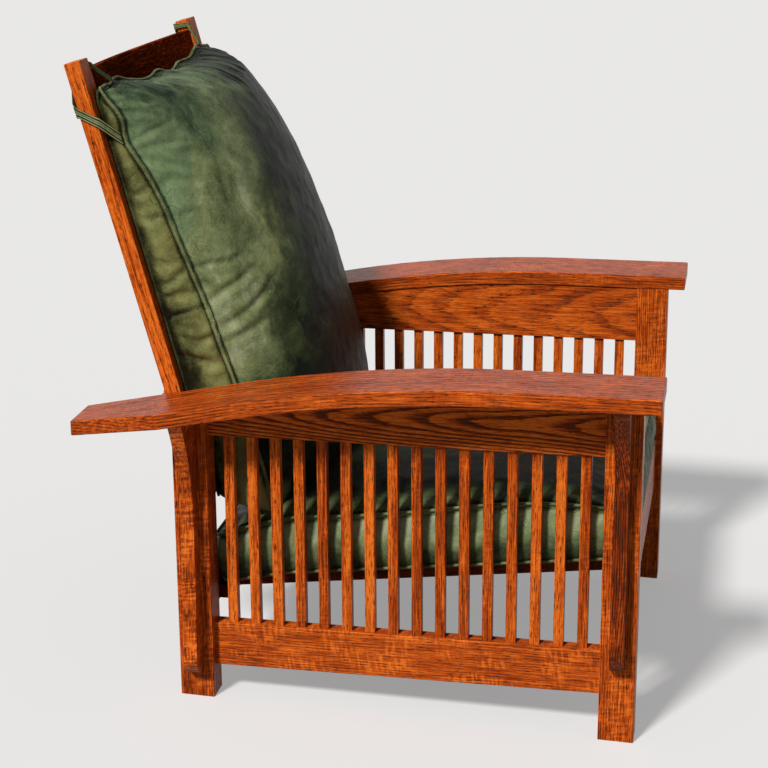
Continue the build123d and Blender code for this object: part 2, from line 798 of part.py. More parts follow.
def main():
    """Build every node in place and write one STEP file for each."""
    lean = Rot(X=-frame_lean_deg)
    back_place = Pos(0, pivot_y, pivot_z) * Rot(X=-back_lean_deg)
    floor_cut = block(
        -arm_outer_x, arm_outer_x, arm_front_y, arm_back_y, -overrun * 2, 0
    )

    side = {
        "front_leg": make_leg(front_y),
        "back_leg": make_leg(back_leg_front_y),
        "front_corbel": make_corbel(front_y),
        "back_corbel": make_corbel(back_leg_front_y),
        "arm": make_arm(),
        "lower_side_rail": make_lower_rail(),
        "upper_side_rail": make_upper_rail(),
    }
    spindles = make_spindles()
    pins = make_tenon_pins()
    front_rail_top = deck_top(front_rail_face_y) - front_rail_drop
    front_rail = make_cross_rail(front_y + front_rail_recess, front_rail_top)
    back_rail_top = deck_top(back_rail_face_y) + back_rail_rise
    back_rail = make_cross_rail(back_rail_face_y, back_rail_top)
    for spindle in spindles:
        side["lower_side_rail"] -= spindle
        side["upper_side_rail"] -= spindle
    for leg, cross_rail in (("front_leg", front_rail), ("back_leg", back_rail)):
        side[leg] = side[leg] - side["lower_side_rail"] - side["upper_side_rail"] - cross_rail
    for pin in pins:
        for name in ("front_leg", "back_leg", "lower_side_rail", "upper_side_rail"):
            side[name] -= pin
    bore_y, bore_z = pivot_in_frame()
    bore_low = leg_inner_x - pivot_pin_in_leg - post_side_gap
    bore_radius = pivot_pin_radius + pivot_running_gap
    side["back_leg"] -= rod(bore_radius, bore_low, leg_inner_x + overrun, bore_y, bore_z)

    nodes = {}
    for name, solid in side.items():
        placed = lean * solid
        if name.endswith("leg"):
            placed = placed - floor_cut
        nodes[name + "_right"] = placed
        nodes[name + "_left"] = mirrored(placed)
    nodes["spindles_right"] = Compound([lean * s for s in spindles])
    nodes["spindles_left"] = Compound([mirrored(lean * s) for s in spindles])
    right_pins = [lean * pin for pin in pins]
    nodes["tenon_pins"] = Compound(right_pins + [mirrored(pin) for pin in right_pins])

    front_cleat, front_screw_z = make_cleat(front_rail_face_y, 1)
    back_cleat, back_screw_z = make_cleat(back_rail_face_y, -1)
    front_screws = make_cleat_screws(front_rail_face_y, 1, front_screw_z)
    back_screws = make_cleat_screws(back_rail_face_y, -1, back_screw_z)
    for screw in front_screws:
        front_rail -= screw
        front_cleat -= screw
    for screw in back_screws:
        back_rail -= screw
        back_cleat -= screw
    nodes["front_rail"] = lean * front_rail
    nodes["back_rail"] = lean * back_rail
    nodes["front_cleat"] = lean * front_cleat
    nodes["back_cleat"] = lean * back_cleat
    nodes["cleat_screws"] = Compound([lean * s for s in front_screws + back_screws])

    deck = lean * seat_place()
    front, back, right, left, slats = make_seat_frame()
    nodes["seat_frame_front"] = deck * front
    nodes["seat_frame_back"] = deck * back
    nodes["seat_frame_right"] = deck * right
    nodes["seat_frame_left"] = deck * left
    nodes["seat_slats"] = Compound([deck * slat for slat in slats])
    seat_cushion = deck * make_seat_cushion()
    nodes["seat_cushion"] = seat_cushion

    pin = make_pivot_pin()
    ladder = make_slats()
    post = make_post(ladder, pin)
    washer = make_washer()
    strap = make_strap()
    for name, solid in (("back_post", post), ("pivot_pin", pin), ("tie_strap", strap)):
        nodes[name + "_right"] = back_place * solid
        nodes[name + "_left"] = back_place * mirrored(solid)
    nodes["pivot_washers"] = Compound([back_place * washer, back_place * mirrored(washer)])
    ladder_names = (
        "back_bottom_rail",
        "back_slat_low",
        "back_slat_middle",
        "back_slat_high",
        "crest_slat",
    )
    for name, slat in zip(ladder_names, ladder):
        nodes[name] = back_place * slat
    back_cushion = back_place * (make_back_cushion() - strap - mirrored(strap))
    nodes["back_cushion"] = back_cushion - Pos(0, 0, cushion_to_cushion_gap) * seat_cushion

    peg = lean * make_peg()
    nodes["support_peg_right"] = peg
    nodes["support_peg_left"] = mirrored(peg)

    boxes = [solid.bounding_box() for solid in nodes.values()]
    middle_y = (min(box.min.Y for box in boxes) + max(box.max.Y for box in boxes)) / 2
    to_origin = Pos(0, -middle_y, 0)
    for name, solid in nodes.items():
        nodes[name] = to_origin * solid
        export_step(nodes[name], f"parts/{name}.step")
    print("origin moved by", round(middle_y, 3))
    return nodes, middle_y


if __name__ == "__main__":
    main()
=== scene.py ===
from math import cos, hypot, pi, radians, sin

import bpy
import numpy as np
from mathutils import Euler, Matrix, Vector, noise
from mathutils.bvhtree import BVHTree
from mathutils.kdtree import KDTree


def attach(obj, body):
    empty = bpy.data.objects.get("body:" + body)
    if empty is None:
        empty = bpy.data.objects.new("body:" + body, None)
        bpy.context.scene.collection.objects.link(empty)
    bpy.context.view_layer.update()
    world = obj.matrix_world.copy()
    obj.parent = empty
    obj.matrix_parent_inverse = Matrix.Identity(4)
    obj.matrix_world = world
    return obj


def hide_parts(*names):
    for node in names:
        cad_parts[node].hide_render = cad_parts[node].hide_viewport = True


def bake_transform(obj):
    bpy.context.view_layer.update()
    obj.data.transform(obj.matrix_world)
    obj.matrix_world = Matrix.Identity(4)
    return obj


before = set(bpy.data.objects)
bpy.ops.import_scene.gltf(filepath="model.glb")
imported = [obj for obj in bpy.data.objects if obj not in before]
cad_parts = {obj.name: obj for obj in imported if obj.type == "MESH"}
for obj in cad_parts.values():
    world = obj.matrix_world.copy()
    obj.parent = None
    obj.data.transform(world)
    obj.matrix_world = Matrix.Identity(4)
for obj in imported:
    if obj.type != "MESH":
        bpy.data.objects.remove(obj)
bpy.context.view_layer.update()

# The looks of a mission reclining armchair: stained oak, and two cushions in mottled green leather.
# Metres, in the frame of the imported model. The right side of the chair is at -X.

# Camera of the photograph
CAMERA_PLACE = (-3.1277, -0.5705, 1.4316)
CAMERA_YAW_DEG = 10.432
CAMERA_PITCH_DEG = 17.270
CAMERA_ROLL_DEG = 1.492
CAMERA_LENS = 90.56
CAMERA_SENSOR = 36.0

# Lights and background. The floor glows a little where it is seen, so that it stays pale in soft light
KEY_STRENGTH = 4.5
KEY_TINT = (1.0, 0.975, 0.94)
KEY_DIRECTION = (0.70, -0.30, -0.74)
KEY_SPREAD_DEG = 9.0
FILL_STRENGTH = 0.24
FILL_TINT = (1.0, 0.985, 0.965)
BACKGROUND_TONE = (0.80, 0.80, 0.80)
FLOOR_TONE = (0.405, 0.409, 0.416)
FLOOR_GLOW = (0.82, 0.82, 0.82)
FLOOR_GLOW_STRENGTH = 0.38
FLOOR_BOUNCE = (0.30, 0.30, 0.30)
FLOOR_REACH = 60.0
CAMERA_REACH = 200.0

# The back leans about its pivot, and the seat lies on a deck that drops towards the back
PIVOT = Vector((0.0, 0.240969, 0.345))
BACK_LEAN = radians(17.02)
DECK_ORIGIN = Vector((0.0, -0.09867, 0.23438))
DECK_SLOPE = radians(8.42)
SIDE_LEAN = radians(1.8)
BACK_SLOPE = Euler((-BACK_LEAN, 0, 0)).to_matrix()
DECK_TURN = Euler((-DECK_SLOPE, 0, 0)).to_matrix()
POST_FACE = 0.013
# Height of the back cushion's zero over the pivot, up the back
BACK_SHIFT = 0.124


def from_back(points):
    """Points (x, forward of the posts' faces, up from the pivot) of the back frame, in the row frame."""
    turn = np.array(BACK_SLOPE)
    local = np.array(points, float)
    local = np.stack([local[:, 0], -POST_FACE - local[:, 1], local[:, 2]], 1)
    return local @ turn.T + np.array(PIVOT)


def from_deck(points):
    """Points (x, y, z) on the seat deck, in the row frame."""
    return np.array(points, float) @ np.array(DECK_TURN).T + np.array(DECK_ORIGIN)


def to_back(points):
    """The row frame's points in the back frame: (x, forward, up from the cushion's zero height)."""
    local = (np.array(points, float) - np.array(PIVOT)) @ np.array(BACK_SLOPE)
    return np.stack([local[:, 0], -POST_FACE - local[:, 1], local[:, 2] - BACK_SHIFT], 1)


def to_deck(points):
    """The row frame's points over the seat deck."""
    return (np.array(points, float) - np.array(DECK_ORIGIN)) @ np.array(DECK_TURN)


def lift_points(points):
    """Back frame points (x, forward, up from the cushion's zero height) in the row frame."""
    points = np.array(points, float).copy()
    points[:, 2] += BACK_SHIFT
    return from_back(points)


# Node trees


class Tree:
    """The nodes of a material or a world, made by short calls."""

    def __init__(self, owner, shader="BsdfPrincipled", output="OutputMaterial"):
        owner.use_nodes = True
        self.owner = owner
        self.nodes = owner.node_tree.nodes
        self.links = owner.node_tree.links
        self.nodes.clear()
        self.shader = self.nodes.new("ShaderNode" + shader)
        self.links.new(self.shader.outputs[0], self.nodes.new("ShaderNode" + output).inputs["Surface"])

    def put(self, socket, value):
        """Link an output to a socket, or set the socket's own value."""
        if hasattr(value, "is_output"):
            self.links.new(value, socket)
        else:
            socket.default_value = value

    def surface(self, **inputs):
        """Set the shader's inputs by name."""
        for name, value in inputs.items():
            self.put(self.shader.inputs[name.replace("_", " ")], value)

    def add(self, kind, settings=(), **inputs):
        """A new node, with its settings and then its inputs by name."""
        node = self.nodes.new("ShaderNode" + kind)
        for name, value in dict(settings).items():
            setattr(node, name, value)
        for name, value in inputs.items():
            self.put(node.inputs[name.replace("_", " ")], value)
        return node

    def math(self, operation, first, second=0.0, third=0.0, clamp=False):
        node = self.add("Math", {"operation": operation, "use_clamp": clamp})
        for socket, value in zip(node.inputs, (first, second, third)):
            self.put(socket, value)
        return node.outputs[0]

    def times(self, first, second):
        return self.math("MULTIPLY", first, second)

    def plus(self, first, second):
        return self.math("ADD", first, second)

    def less(self, first, second):
        return self.math("SUBTRACT", first, second)

    def linear(self, value, slope, start):
        """The value times a slope, plus a start."""
        return self.math("MULTIPLY_ADD", value, slope, start)

    def sway(self, pattern, amount, start):
        """A start that is moved up and down by a pattern about one half."""
        return self.linear(self.less(pattern, 0.5), amount, start)

    def vector(self, operation, first, second=(0, 0, 0), scale=1.0):
        node = self.add("VectorMath", {"operation": operation})
        self.put(node.inputs[0], first)
        self.put(node.inputs[1], second)
        self.put(node.inputs[3], scale)
        return node.outputs["Value" if operation == "DOT_PRODUCT" else "Vector"]

    def place(self):
        """The point's own place, in metres."""
        return self.nodes.new("ShaderNodeTexCoord").outputs["Object"]

    def join(self, x, y, z):
        return self.add("CombineXYZ", X=x, Y=y, Z=z).outputs[0]

    def split(self, vector):
        return self.add("SeparateXYZ", Vector=vector).outputs

    def stretched(self, axes, factors):
        """A place whose three coordinates are each times a factor."""
        pairs = zip(axes, factors)
        return self.join(*(axis if factor == 1 else self.times(axis, factor) for axis, factor in pairs))

    def noise(self, vector, scale, detail=2.0, rough=0.5, distortion=0.0):
        node = self.add(
            "TexNoise", Vector=vector, Scale=scale, Detail=detail, Roughness=rough, Distortion=distortion
        )
        return node.outputs["Fac"]

    def cells(self, vector, scale, feature="F1"):
        return self.add("TexVoronoi", {"feature": feature}, Vector=vector, Scale=scale).outputs["Distance"]

    def random(self, value):
        return self.add("TexWhiteNoise", {"noise_dimensions": "1D"}, W=value).outputs["Value"]

    def span(self, value, low, high, out_low=0.0, out_high=1.0):
        """A smooth step between two values."""
        settings = {"interpolation_type": "SMOOTHSTEP"}
        node = self.add(
            "MapRange", settings, Value=value, From_Min=low, From_Max=high, To_Min=out_low, To_Max=out_high
        )
        return node.outputs[0]

    def mix(self, share, first, second):
        """A blend of two colours."""
        node = self.add("Mix", {"data_type": "RGBA"})
        self.put(node.inputs[0], share)
        for socket, value in ((node.inputs[6], first), (node.inputs[7], second)):
            self.put(socket, value if hasattr(value, "is_output") else (*value, 1.0))
        return node.outputs[2]

    def ramp(self, value, stops):
        node = self.add("ValToRGB", Fac=value)
        while len(node.color_ramp.elements) < len(stops):
            node.color_ramp.elements.new(0.5)
        for element, (place, colour) in zip(node.color_ramp.elements, stops):
            element.position = place
            element.color = (*colour, 1.0)
        return node.outputs[0]

    def attribute(self, name):
        return self.add("Attribute", {"attribute_name": name}).outputs["Fac"]

    def bump(self, height, distance, strength=1.0, below=None):
        """Relief from a height, over the relief below it."""
        node = self.add("Bump", Strength=strength, Distance=distance, Height=height)
        if below is not None:
            self.put(node.inputs["Normal"], below)
        return node.outputs[0]

    def seen(self):
        """1 for rays from the camera, mirrors and glass, and 0 for light on its way to something."""
        path = self.nodes.new("ShaderNodeLightPath").outputs
        either = self.math("MAXIMUM", path["Is Camera Ray"], path["Is Glossy Ray"])
        return self.math("MAXIMUM", either, path["Is Transmission Ray"])


# Oak

OAK_DARK = (0.0300, 0.0062, 0.0024)
OAK_DEEP = (0.1500, 0.0200, 0.0034)
OAK_BODY = (0.4000, 0.0600, 0.0056)
OAK_LIGHT = (0.6600, 0.1420, 0.0150)
OAK_SHEEN = (1.0, 0.52, 0.22)
# Scales of the patterns, as repeats a metre
OAK_PORES = 760.0
OAK_FIBRES = 400.0
OAK_RAYS = 190.0
OAK_PATCHES = 14.0
OAK_CLOUDS = 9.0
# How far the rings wander from true circles, in metres
OAK_WANDER = 0.020

# The bow of the arms: where it starts, how far it runs, and how round it is
ARM_BEND_START = -0.26
ARM_BEND_RUN = 0.44
ARM_BEND_RADIUS = 2.245
SPINDLE_PITCH = 0.0372

# Ways that fibres run and faces look
UP = (0, sin(SIDE_LEAN), cos(SIDE_LEAN))
BACKWARD = (0, cos(SIDE_LEAN), -sin(SIDE_LEAN))
UP_BACK = (0, sin(BACK_LEAN), cos(BACK_LEAN))
FRONT_OF_BACK = (0, -cos(BACK_LEAN), sin(BACK_LEAN))
SIDEWAYS = (1, 0, 0)
OUTWARD = (-1, 0, 0)
UPWARD = (0, 0, 1)
FORWARD = (0, -1, 0)


def grain_frame(grain, face):
    """Unit vectors across the face, out of it and along the grain."""
    along = Vector(grain).normalized()
    out = Vector(face)
    out = (out - along * out.dot(along)).normalized()
    return out.cross(along), out, along


def oak(name, grain, face, pith=(0.05, 0.35), ring=3.4, fleck=0.5, tone=0.0, seed=0.0, bow=False, each=0.0,
        bands=0.16, sheen=0.16, middle=None, taper=0.0):
    """Stained oak. grain is the way of the fibres, face the way that the main face looks, and pith the
    place of the tree's heart beside the board, across the face and behind it: far behind gives straight
    lines, and near behind gives arches. ring is the width of a year in millimetres, and fleck how much ray
    figure crosses the grain. each is the pitch of a row of pieces that are cut from different boards. With
    middle, the heart is placed from there, and taper closes the arches along the board."""
    t = Tree(bpy.data.materials.new(name))
    coordinates = straightened(t, t.place()) if bow else t.place()
    across, out, along = grain_frame(grain, face)
    u, v, w = (t.vector("DOT_PRODUCT", coordinates, tuple(way)) for way in (across, out, along))
    shift = seed * 1.37
    if each:
        index = t.math("FLOOR", t.times(t.split(coordinates)[1], 1 / each))
        chance = t.random(t.plus(index, seed))
        shift = t.linear(chance, 9.0, shift)
        tone = t.linear(chance, 0.44, tone - 0.22)
    cone = 0.0
    if middle is not None:
        u = t.less(u, middle.dot(across))
        v = t.less(v, middle.dot(out))
        cone = t.times(t.less(w, middle.dot(along)), taper)
    w = t.plus(w, shift)

    # Year rings round the heart, a little out of true
    slow = t.stretched((u, v, w), (5.0, 5.0, 1.3))
    ring_u = t.less(t.sway(t.noise(slow, 1.6), OAK_WANDER, u), pith[0])
    ring_v = t.plus(t.sway(t.noise(t.vector("ADD", slow, (7.3, 1.1, 4.7)), 1.6), OAK_WANDER, v), pith[1])
    radius = t.math("SQRT", t.plus(t.times(ring_u, ring_u), t.times(ring_v, ring_v)))
    jitter = t.noise(t.stretched((u, v, w), (60.0, 60.0, 4.0)), 3.0, 3.0, 0.6)
    early = t.math("FRACT", t.sway(jitter, 0.55, t.times(t.plus(radius, cone), 1000.0 / ring)))
    # Porous early wood takes the stain dark, and fades into smooth late wood
    band = t.less(t.span(early, 0.0, 0.10), t.span(early, 0.16, 0.70))
    pores = t.noise(t.stretched((u, v, w), (1, 1, 0.085)), OAK_PORES, 2.0, 0.6)
    pore = t.times(t.span(pores, 0.52, 0.60), t.linear(band, 0.50, 0.50))
    fibre = t.noise(t.stretched((u, v, w), (1, 1, 0.045)), OAK_FIBRES, 3.0, 0.62)
    # Rays: soft bars that stand across the grain, in patches
    rays = t.noise(t.stretched((u, v, t.linear(u, 0.12, w)), (0.20, 0.20, 1)), OAK_RAYS, 1.0)
    patch = t.span(t.noise(t.stretched((u, v, w), (2.0, 1, 1)), OAK_PATCHES, 1.0), 0.38, 0.60)
    ray = t.times(t.span(rays, 0.42, 0.62), t.times(patch, fleck))
    clouds = t.noise(t.stretched((u, v, w), (2.2, 2.2, 1)), OAK_CLOUDS)

    value = t.sway(fibre, 1.45, t.linear(band, -bands, 0.62))
    value = t.linear(ray, 0.30, t.sway(clouds, 0.42, value))
    value = t.plus(value, tone)
    colour = t.ramp(value, [(0.06, OAK_DARK), (0.34, OAK_DEEP), (0.62, OAK_BODY), (0.95, OAK_LIGHT)])
    height = t.linear(ray, 0.10, t.linear(pore, -1.0, t.times(fibre, 0.25)))
    t.surface(
        Base_Color=t.mix(t.times(pore, 0.96), colour, OAK_DARK),
        Roughness=t.linear(pore, 0.20, t.linear(fibre, 0.16, 0.26)),
        Specular_IOR_Level=sheen,
        Specular_Tint=(*OAK_SHEEN, 1.0),
        Normal=t.bump(height, 0.00035, 0.60),
    )
    return t.owner


def straightened(t, coordinates):
    """Coordinates that follow the bow of an arm, so that its grain bends with it."""
    x, y, z = t.split(coordinates)
    run = t.less(y, ARM_BEND_START)
    in_bend = t.math("MINIMUM", t.math("MAXIMUM", run, 0.0), ARM_BEND_RUN)
    past = t.math("MAXIMUM", t.less(run, ARM_BEND_RUN), 0.0)
    drop = t.times(t.times(in_bend, in_bend), 0.5 / ARM_BEND_RADIUS)
    drop = t.linear(past, ARM_BEND_RUN / ARM_BEND_RADIUS, drop)
    return t.join(x, y, t.plus(z, drop))


def middle_of(node):
    """The middle of a node's box."""
    places = places_of(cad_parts[node].data)
    return Vector((places.min(0) + places.max(0)) / 2)


def paint(node, material):
    """Give a node of the frame one material."""
    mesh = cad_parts[node].data
    mesh.materials.clear()
    mesh.materials.append(material)


def cut(node, grain, face, **look):
    """Give a wooden node its own cut of oak."""
    paint(node, oak("oak_" + node, grain, face, **look))


def dress_wood():
    """Give each wooden node its own cut of oak. The two sides of the chair differ by their seeds, and the
    far upper rail is plainer than the near one."""
    for k, side in enumerate(("_right", "_left")):
        s = 3.1 * k
        upper = "upper_side_rail" + side
        cut("arm" + side, BACKWARD, UPWARD, pith=(0.02, 0.16), ring=4.2, fleck=0.25, seed=s + 0.3, bow=True,
            tone=-0.02)
        cut("front_leg" + side, UP, OUTWARD, pith=(0.30, 0.02), fleck=0.75, seed=s + 1.2, tone=0.02)
        cut("back_leg" + side, UP, OUTWARD, pith=(0.28, 0.03), fleck=0.85, seed=s + 2.2, tone=-0.04)
        cut("front_corbel" + side, UP, OUTWARD, pith=(0.01, 0.06), ring=3.0, fleck=0.3, seed=s + 3.4,
            tone=-0.27, bands=0.25)
        cut("back_corbel" + side, UP, OUTWARD, pith=(0.2, 0.1), fleck=1.3, seed=s + 4.4, tone=-0.03)
        cut("lower_side_rail" + side, BACKWARD, OUTWARD, pith=(0.25, 0.05), ring=3.0, fleck=0.9, seed=s + 5.3,
            tone=0.04)
        cut(upper, BACKWARD, OUTWARD, pith=(0.004, 0.016 + 0.2 * k), ring=4.4, fleck=0.1, seed=s + 6.1,
            tone=0.22 - 0.17 * k, bands=0.62 - 0.44 * k, middle=middle_of(upper), taper=0.05)
        cut("spindles" + side, UP, OUTWARD, pith=(0.30, 0.12), ring=2.6, fleck=0.35, seed=s + 7.7,
            each=SPINDLE_PITCH, bands=0.09, tone=0.08)
        cut("back_post" + side, UP_BACK, OUTWARD, pith=(0.22, 0.14), ring=2.8, fleck=0.3, seed=s + 8.2,
            tone=0.16, sheen=0.06)
        # The seat frame is made nearly black: painted shade under the seat cushion
        cut("seat_frame" + side, BACKWARD, UPWARD, seed=s + 9.1, tone=-0.42)
        cut("support_peg" + side, SIDEWAYS, UPWARD, ring=2.2, seed=s + 10.4, tone=-0.05)
    slats = ("back_bottom_rail", "back_slat_low", "back_slat_middle", "back_slat_high", "crest_slat")
    # The back's slats are made darker: painted shade, as the crest faces away from the light
    for k, name in enumerate(slats):
        cut(name, SIDEWAYS, FRONT_OF_BACK, pith=(0.06, 0.08), ring=3.6, fleck=0.3, seed=20.3 + k, tone=-0.30,
            sheen=0.0)
    for k, name in enumerate(("front_rail", "back_rail")):
        cut(name, SIDEWAYS, FORWARD, pith=(0.03, 0.07), ring=4.0, fleck=0.3, seed=30.7 + k)
    # The pieces under the seat are made nearly black: painted shade under the cushion
    under_seat = ("front_cleat", "back_cleat", "seat_frame_front", "seat_frame_back", "seat_slats")
    for k, name in enumerate(under_seat):
        cut(name, SIDEWAYS, UPWARD, ring=3.0, fleck=0.2, seed=40.9 + k, tone=-0.42)
    cut("tenon_pins", SIDEWAYS, UPWARD, pith=(0.01, 0.01), ring=1.2, seed=50.2, tone=-0.22)


# Steel


def steel():
    """Plain steel, brushed and a little dull."""
    t = Tree(bpy.data.materials.new("brushed_steel"))
    brushed = t.noise(t.vector("MULTIPLY", t.place(), (0.15, 1.0, 1.0)), 1500.0)
    tarnish = t.noise(t.place(), 160.0, 3.0)
    t.surface(
        Base_Color=t.mix(tarnish, (0.32, 0.31, 0.30), (0.50, 0.49, 0.47)),
        Roughness=t.span(brushed, 0.3, 0.7, 0.28, 0.45),
        Normal=t.bump(brushed, 0.0001, 0.4),
        Metallic=1.0,
    )
    return t.owner


# Leather

LEATHER_DARK = (0.0070, 0.0090, 0.0050)
LEATHER_BODY = (0.0500, 0.0660, 0.0270)
LEATHER_LIGHT = (0.1600, 0.1920, 0.0860)
LEATHER_EDGE = (0.2600, 0.2900, 0.1800)
LEATHER_SHEEN_GREEN = (0.1050, 0.1720, 0.0900)
LEATHER_OLIVE = (0.1750, 0.1680, 0.0520)
LEATHER_BROWN = (0.0120, 0.0090, 0.0040)
LEATHER_SHADE = (0.0100, 0.0220, 0.0120)
LEATHER_SHEEN = (0.80, 1.0, 0.82, 1.0)
# Scales of the patterns, as repeats a metre
LEATHER_PATCHES = 7.5
LEATHER_BLOTS = 30.0
LEATHER_STREAKS = 17.0
LEATHER_FINE = 260.0
LEATHER_VEINS = 34.0
LEATHER_FOLDS = 62.0
LEATHER_PEBBLES = 720.0


def leather(name, olive=0.0):
    """Mottled green leather. Four numbers at each point of a mesh change it: one lightens rubbed places and
    paints highlights and sheen where the light falls, and paints shade where it is below zero; one paints
    shade into folds, recesses and the parts that the light misses; one turns it olive at the gussets; and one
    paints a cold green sheen."""
    t = Tree(bpy.data.materials.new(name))
    place = t.place()
    drift = t.join(t.noise(place, 14.0), t.noise(t.vector("ADD", place, (3, 1, 2)), 14.0), 0.0)
    warped = t.vector("ADD", place, t.vector("SCALE", drift, scale=0.05))
    patches = t.noise(warped, LEATHER_PATCHES, 4.0, 0.62, 0.4)
    blots = t.noise(warped, LEATHER_BLOTS, 4.0, 0.65, 0.3)
    streaks = t.noise(t.vector("MULTIPLY", warped, (2.4, 1.0, 0.75)), LEATHER_STREAKS, 3.0, 0.6)
    fine = t.noise(place, LEATHER_FINE, 3.0, 0.6)
    value = t.sway(patches, 1.15, 0.43)
    value = t.sway(blots, 0.80, value)
    value = t.sway(streaks, 0.40, value)
    value = t.sway(fine, 0.34, value)
    # Rubbed places and painted highlights lighten the leather, and painted shade darkens it
    value = t.linear(t.attribute("wear_and_painted_light"), 0.42, value)
    value = t.linear(t.attribute("painted_shade"), -0.50, value)
    # Fine veins, dark in their middle and pale beside it, in some places only
    vein = t.cells(warped, LEATHER_VEINS, "DISTANCE_TO_EDGE")
    veined = t.span(t.noise(warped, 9.0), 0.42, 0.62)
    value = t.linear(t.times(t.span(vein, 0.0, 0.030, 1.0, 0.0), veined), -0.22, value)
    value = t.linear(t.times(t.span(vein, 0.030, 0.095, 1.0, 0.0), veined), 0.09, value)

    stops = [(0.12, LEATHER_DARK), (0.46, LEATHER_BODY), (0.80, LEATHER_LIGHT), (1.0, LEATHER_EDGE)]
    green = t.ramp(value, stops)
    brown = t.mix(t.span(value, 0.1, 0.9), LEATHER_BROWN, LEATHER_OLIVE)
    # The cold green of a painted sheen, from its shaded to its lit colour
    painted_sheen = t.mix(t.span(value, 0.15, 0.95), LEATHER_SHADE, LEATHER_SHEEN_GREEN)
    amount = t.linear(t.span(t.noise(warped, 11.0, 3.0, 0.6), 0.46, 0.66), 0.22, olive)
    amount = t.math("ADD", amount, t.times(t.attribute("gusset"), 0.66), clamp=True)
    colour = t.mix(t.times(t.attribute("painted_sheen"), 0.65), t.mix(amount, green, brown), painted_sheen)

    # Relief: soft dents, then fine folds, then pebbled grain
    dents = t.bump(t.noise(warped, 48.0, 3.0, 0.55), 0.0022, 0.55)
    fold = t.span(t.cells(warped, LEATHER_FOLDS, "DISTANCE_TO_EDGE"), 0.0, 0.055)
    pebbles = t.plus(t.cells(place, LEATHER_PEBBLES), t.times(fine, 0.5))
    t.surface(
        Base_Color=colour,
        Roughness=t.linear(blots, 0.22, 0.32),
        Specular_IOR_Level=0.05,
        Specular_Tint=LEATHER_SHEEN,
        Normal=t.bump(pebbles, 0.00022, 0.35, t.bump(fold, 0.0005, 0.35, dents)),
    )
    return t.owner


def waxed_thread():
    """Dark waxed sewing thread."""
    t = Tree(bpy.data.materials.new("waxed_thread"))
    twist = t.noise(t.place(), 900.0)
    t.surface(
        Base_Color=t.mix(twist, (0.0035, 0.0050, 0.0030), (0.0140, 0.0180, 0.0100)),
        Roughness=0.6,
        Specular_IOR_Level=0.2,
    )
    return t.owner


# Curves and meshes


def curve_through(stops):
    """A function that passes smoothly through (place, value) stops."""
    places = np.array([stop[0] for stop in stops], float)
    values = np.array([stop[1] for stop in stops], float)
    slopes = np.gradient(values, places)

    def at(place):
        place = np.clip(place, places[0], places[-1])
        i = np.clip(np.searchsorted(places, place) - 1, 0, len(places) - 2)
        step = places[i + 1] - places[i]
        s = (place - places[i]) / step
        a = (1 + 2 * s) * (1 - s) ** 2 * values[i] + s * (1 - s) ** 2 * step * slopes[i]
        b = s * s * (3 - 2 * s) * values[i + 1] + s * s * (s - 1) * step * slopes[i + 1]
        return a + b

    return at


def lengths_along(line):
    """How far along a line of points each of them lies."""
    return np.concatenate([[0], np.cumsum(np.linalg.norm(np.diff(line, axis=0), axis=1))])


def spaced(line, count):
    """A number of evenly spaced points along a line, from end to end."""
    line = np.array(line, float)
    along = lengths_along(line)
    at = np.linspace(0, along[-1], count)
    return np.stack([np.interp(at, along, column) for column in line.T], 1)


def dense(line, step=0.003):
    """Evenly spaced points along a line, about a step apart."""
    return spaced(line, max(int(lengths_along(line)[-1] / step), 2))


def ramp_up(value, low, high):
    """A smooth step from 0 to 1."""
    t = np.clip((value - low) / (high - low), 0, 1)
    return t * t * (3 - 2 * t)


def hump(value, middle, width):
    """A smooth hump from 0 to 1 and back, about a middle."""
    return np.exp(-(((value - middle) / width) ** 2))


def cloud(points, scale, seed):
    """Smooth noise from -1 to 1 at each point."""
    shift = Vector((seed * 3.7, seed * 1.9, seed * 5.3))
    return np.array([noise.noise(Vector(p) * scale + shift) for p in points])


def mesh_object(name, points, faces, material=None, smooth=True):
    """A new mesh object from points in the row frame."""
    mesh = bpy.data.meshes.new(name)
    mesh.from_pydata([tuple(p) for p in points], [], [tuple(f) for f in faces])
    mesh.validate()
    mesh.update()
    if smooth:
        mesh.polygons.foreach_set("use_smooth", [True] * len(mesh.polygons))
    made = bpy.data.objects.new(name, mesh)
    bpy.context.scene.collection.objects.link(made)
    if material:
        mesh.materials.append(material)
    return made


def wall(count, rows, base=0, closed=False):
    """Faces between rows of points, where each row is a closed ring of count points."""
    faces = []
    for i in range(rows if closed else rows - 1):
        low, high = base + i * count, base + (i + 1) % rows * count
        for j in range(count):
            k = (j + 1) % count
            faces.append((low + j, low + k, high + k, high + j))
    return faces


def skin(rings, strip=None):
    """Points and faces over closed rings. The ends are closed by fans, or by strips between two rows."""
    count = len(rings[0])
    points = np.concatenate(rings)
    faces = wall(count, len(rings))
    for base, turned in ((0, True), ((len(rings) - 1) * count, False)):
        if strip:
            row, side = strip
            cap = [(i, i + 1, 2 * row + side - i - 1, 2 * row + side - i) for i in range(row)]
            cap.append(tuple(range(row, row + side + 1)))
            cap.append(tuple(range(2 * row + side, 2 * (row + side))) + (0,))
            cap = [tuple(base + n for n in face) for face in cap]
        else:
            points = np.concatenate([points, rings[base // count].mean(0)[None]])
            hub = len(points) - 1
            cap = [(base + j, base + (j + 1) % count, hub) for j in range(count)]
        faces += [face[::-1] if turned else face for face in cap]
    return points, faces


def circle(middle, first, second, radius, sides):
    """Points of a circle round a middle, in the plane of two unit vectors."""
    angles = np.arange(sides) * 2 * pi / sides
    return middle + radius * (np.cos(angles)[:, None] * first + np.sin(angles)[:, None] * second)


def places_of(mesh):
    """A mesh's points as an array."""
    places = np.zeros(len(mesh.vertices) * 3)
    mesh.vertices.foreach_get("co", places)
    return places.reshape(-1, 3)


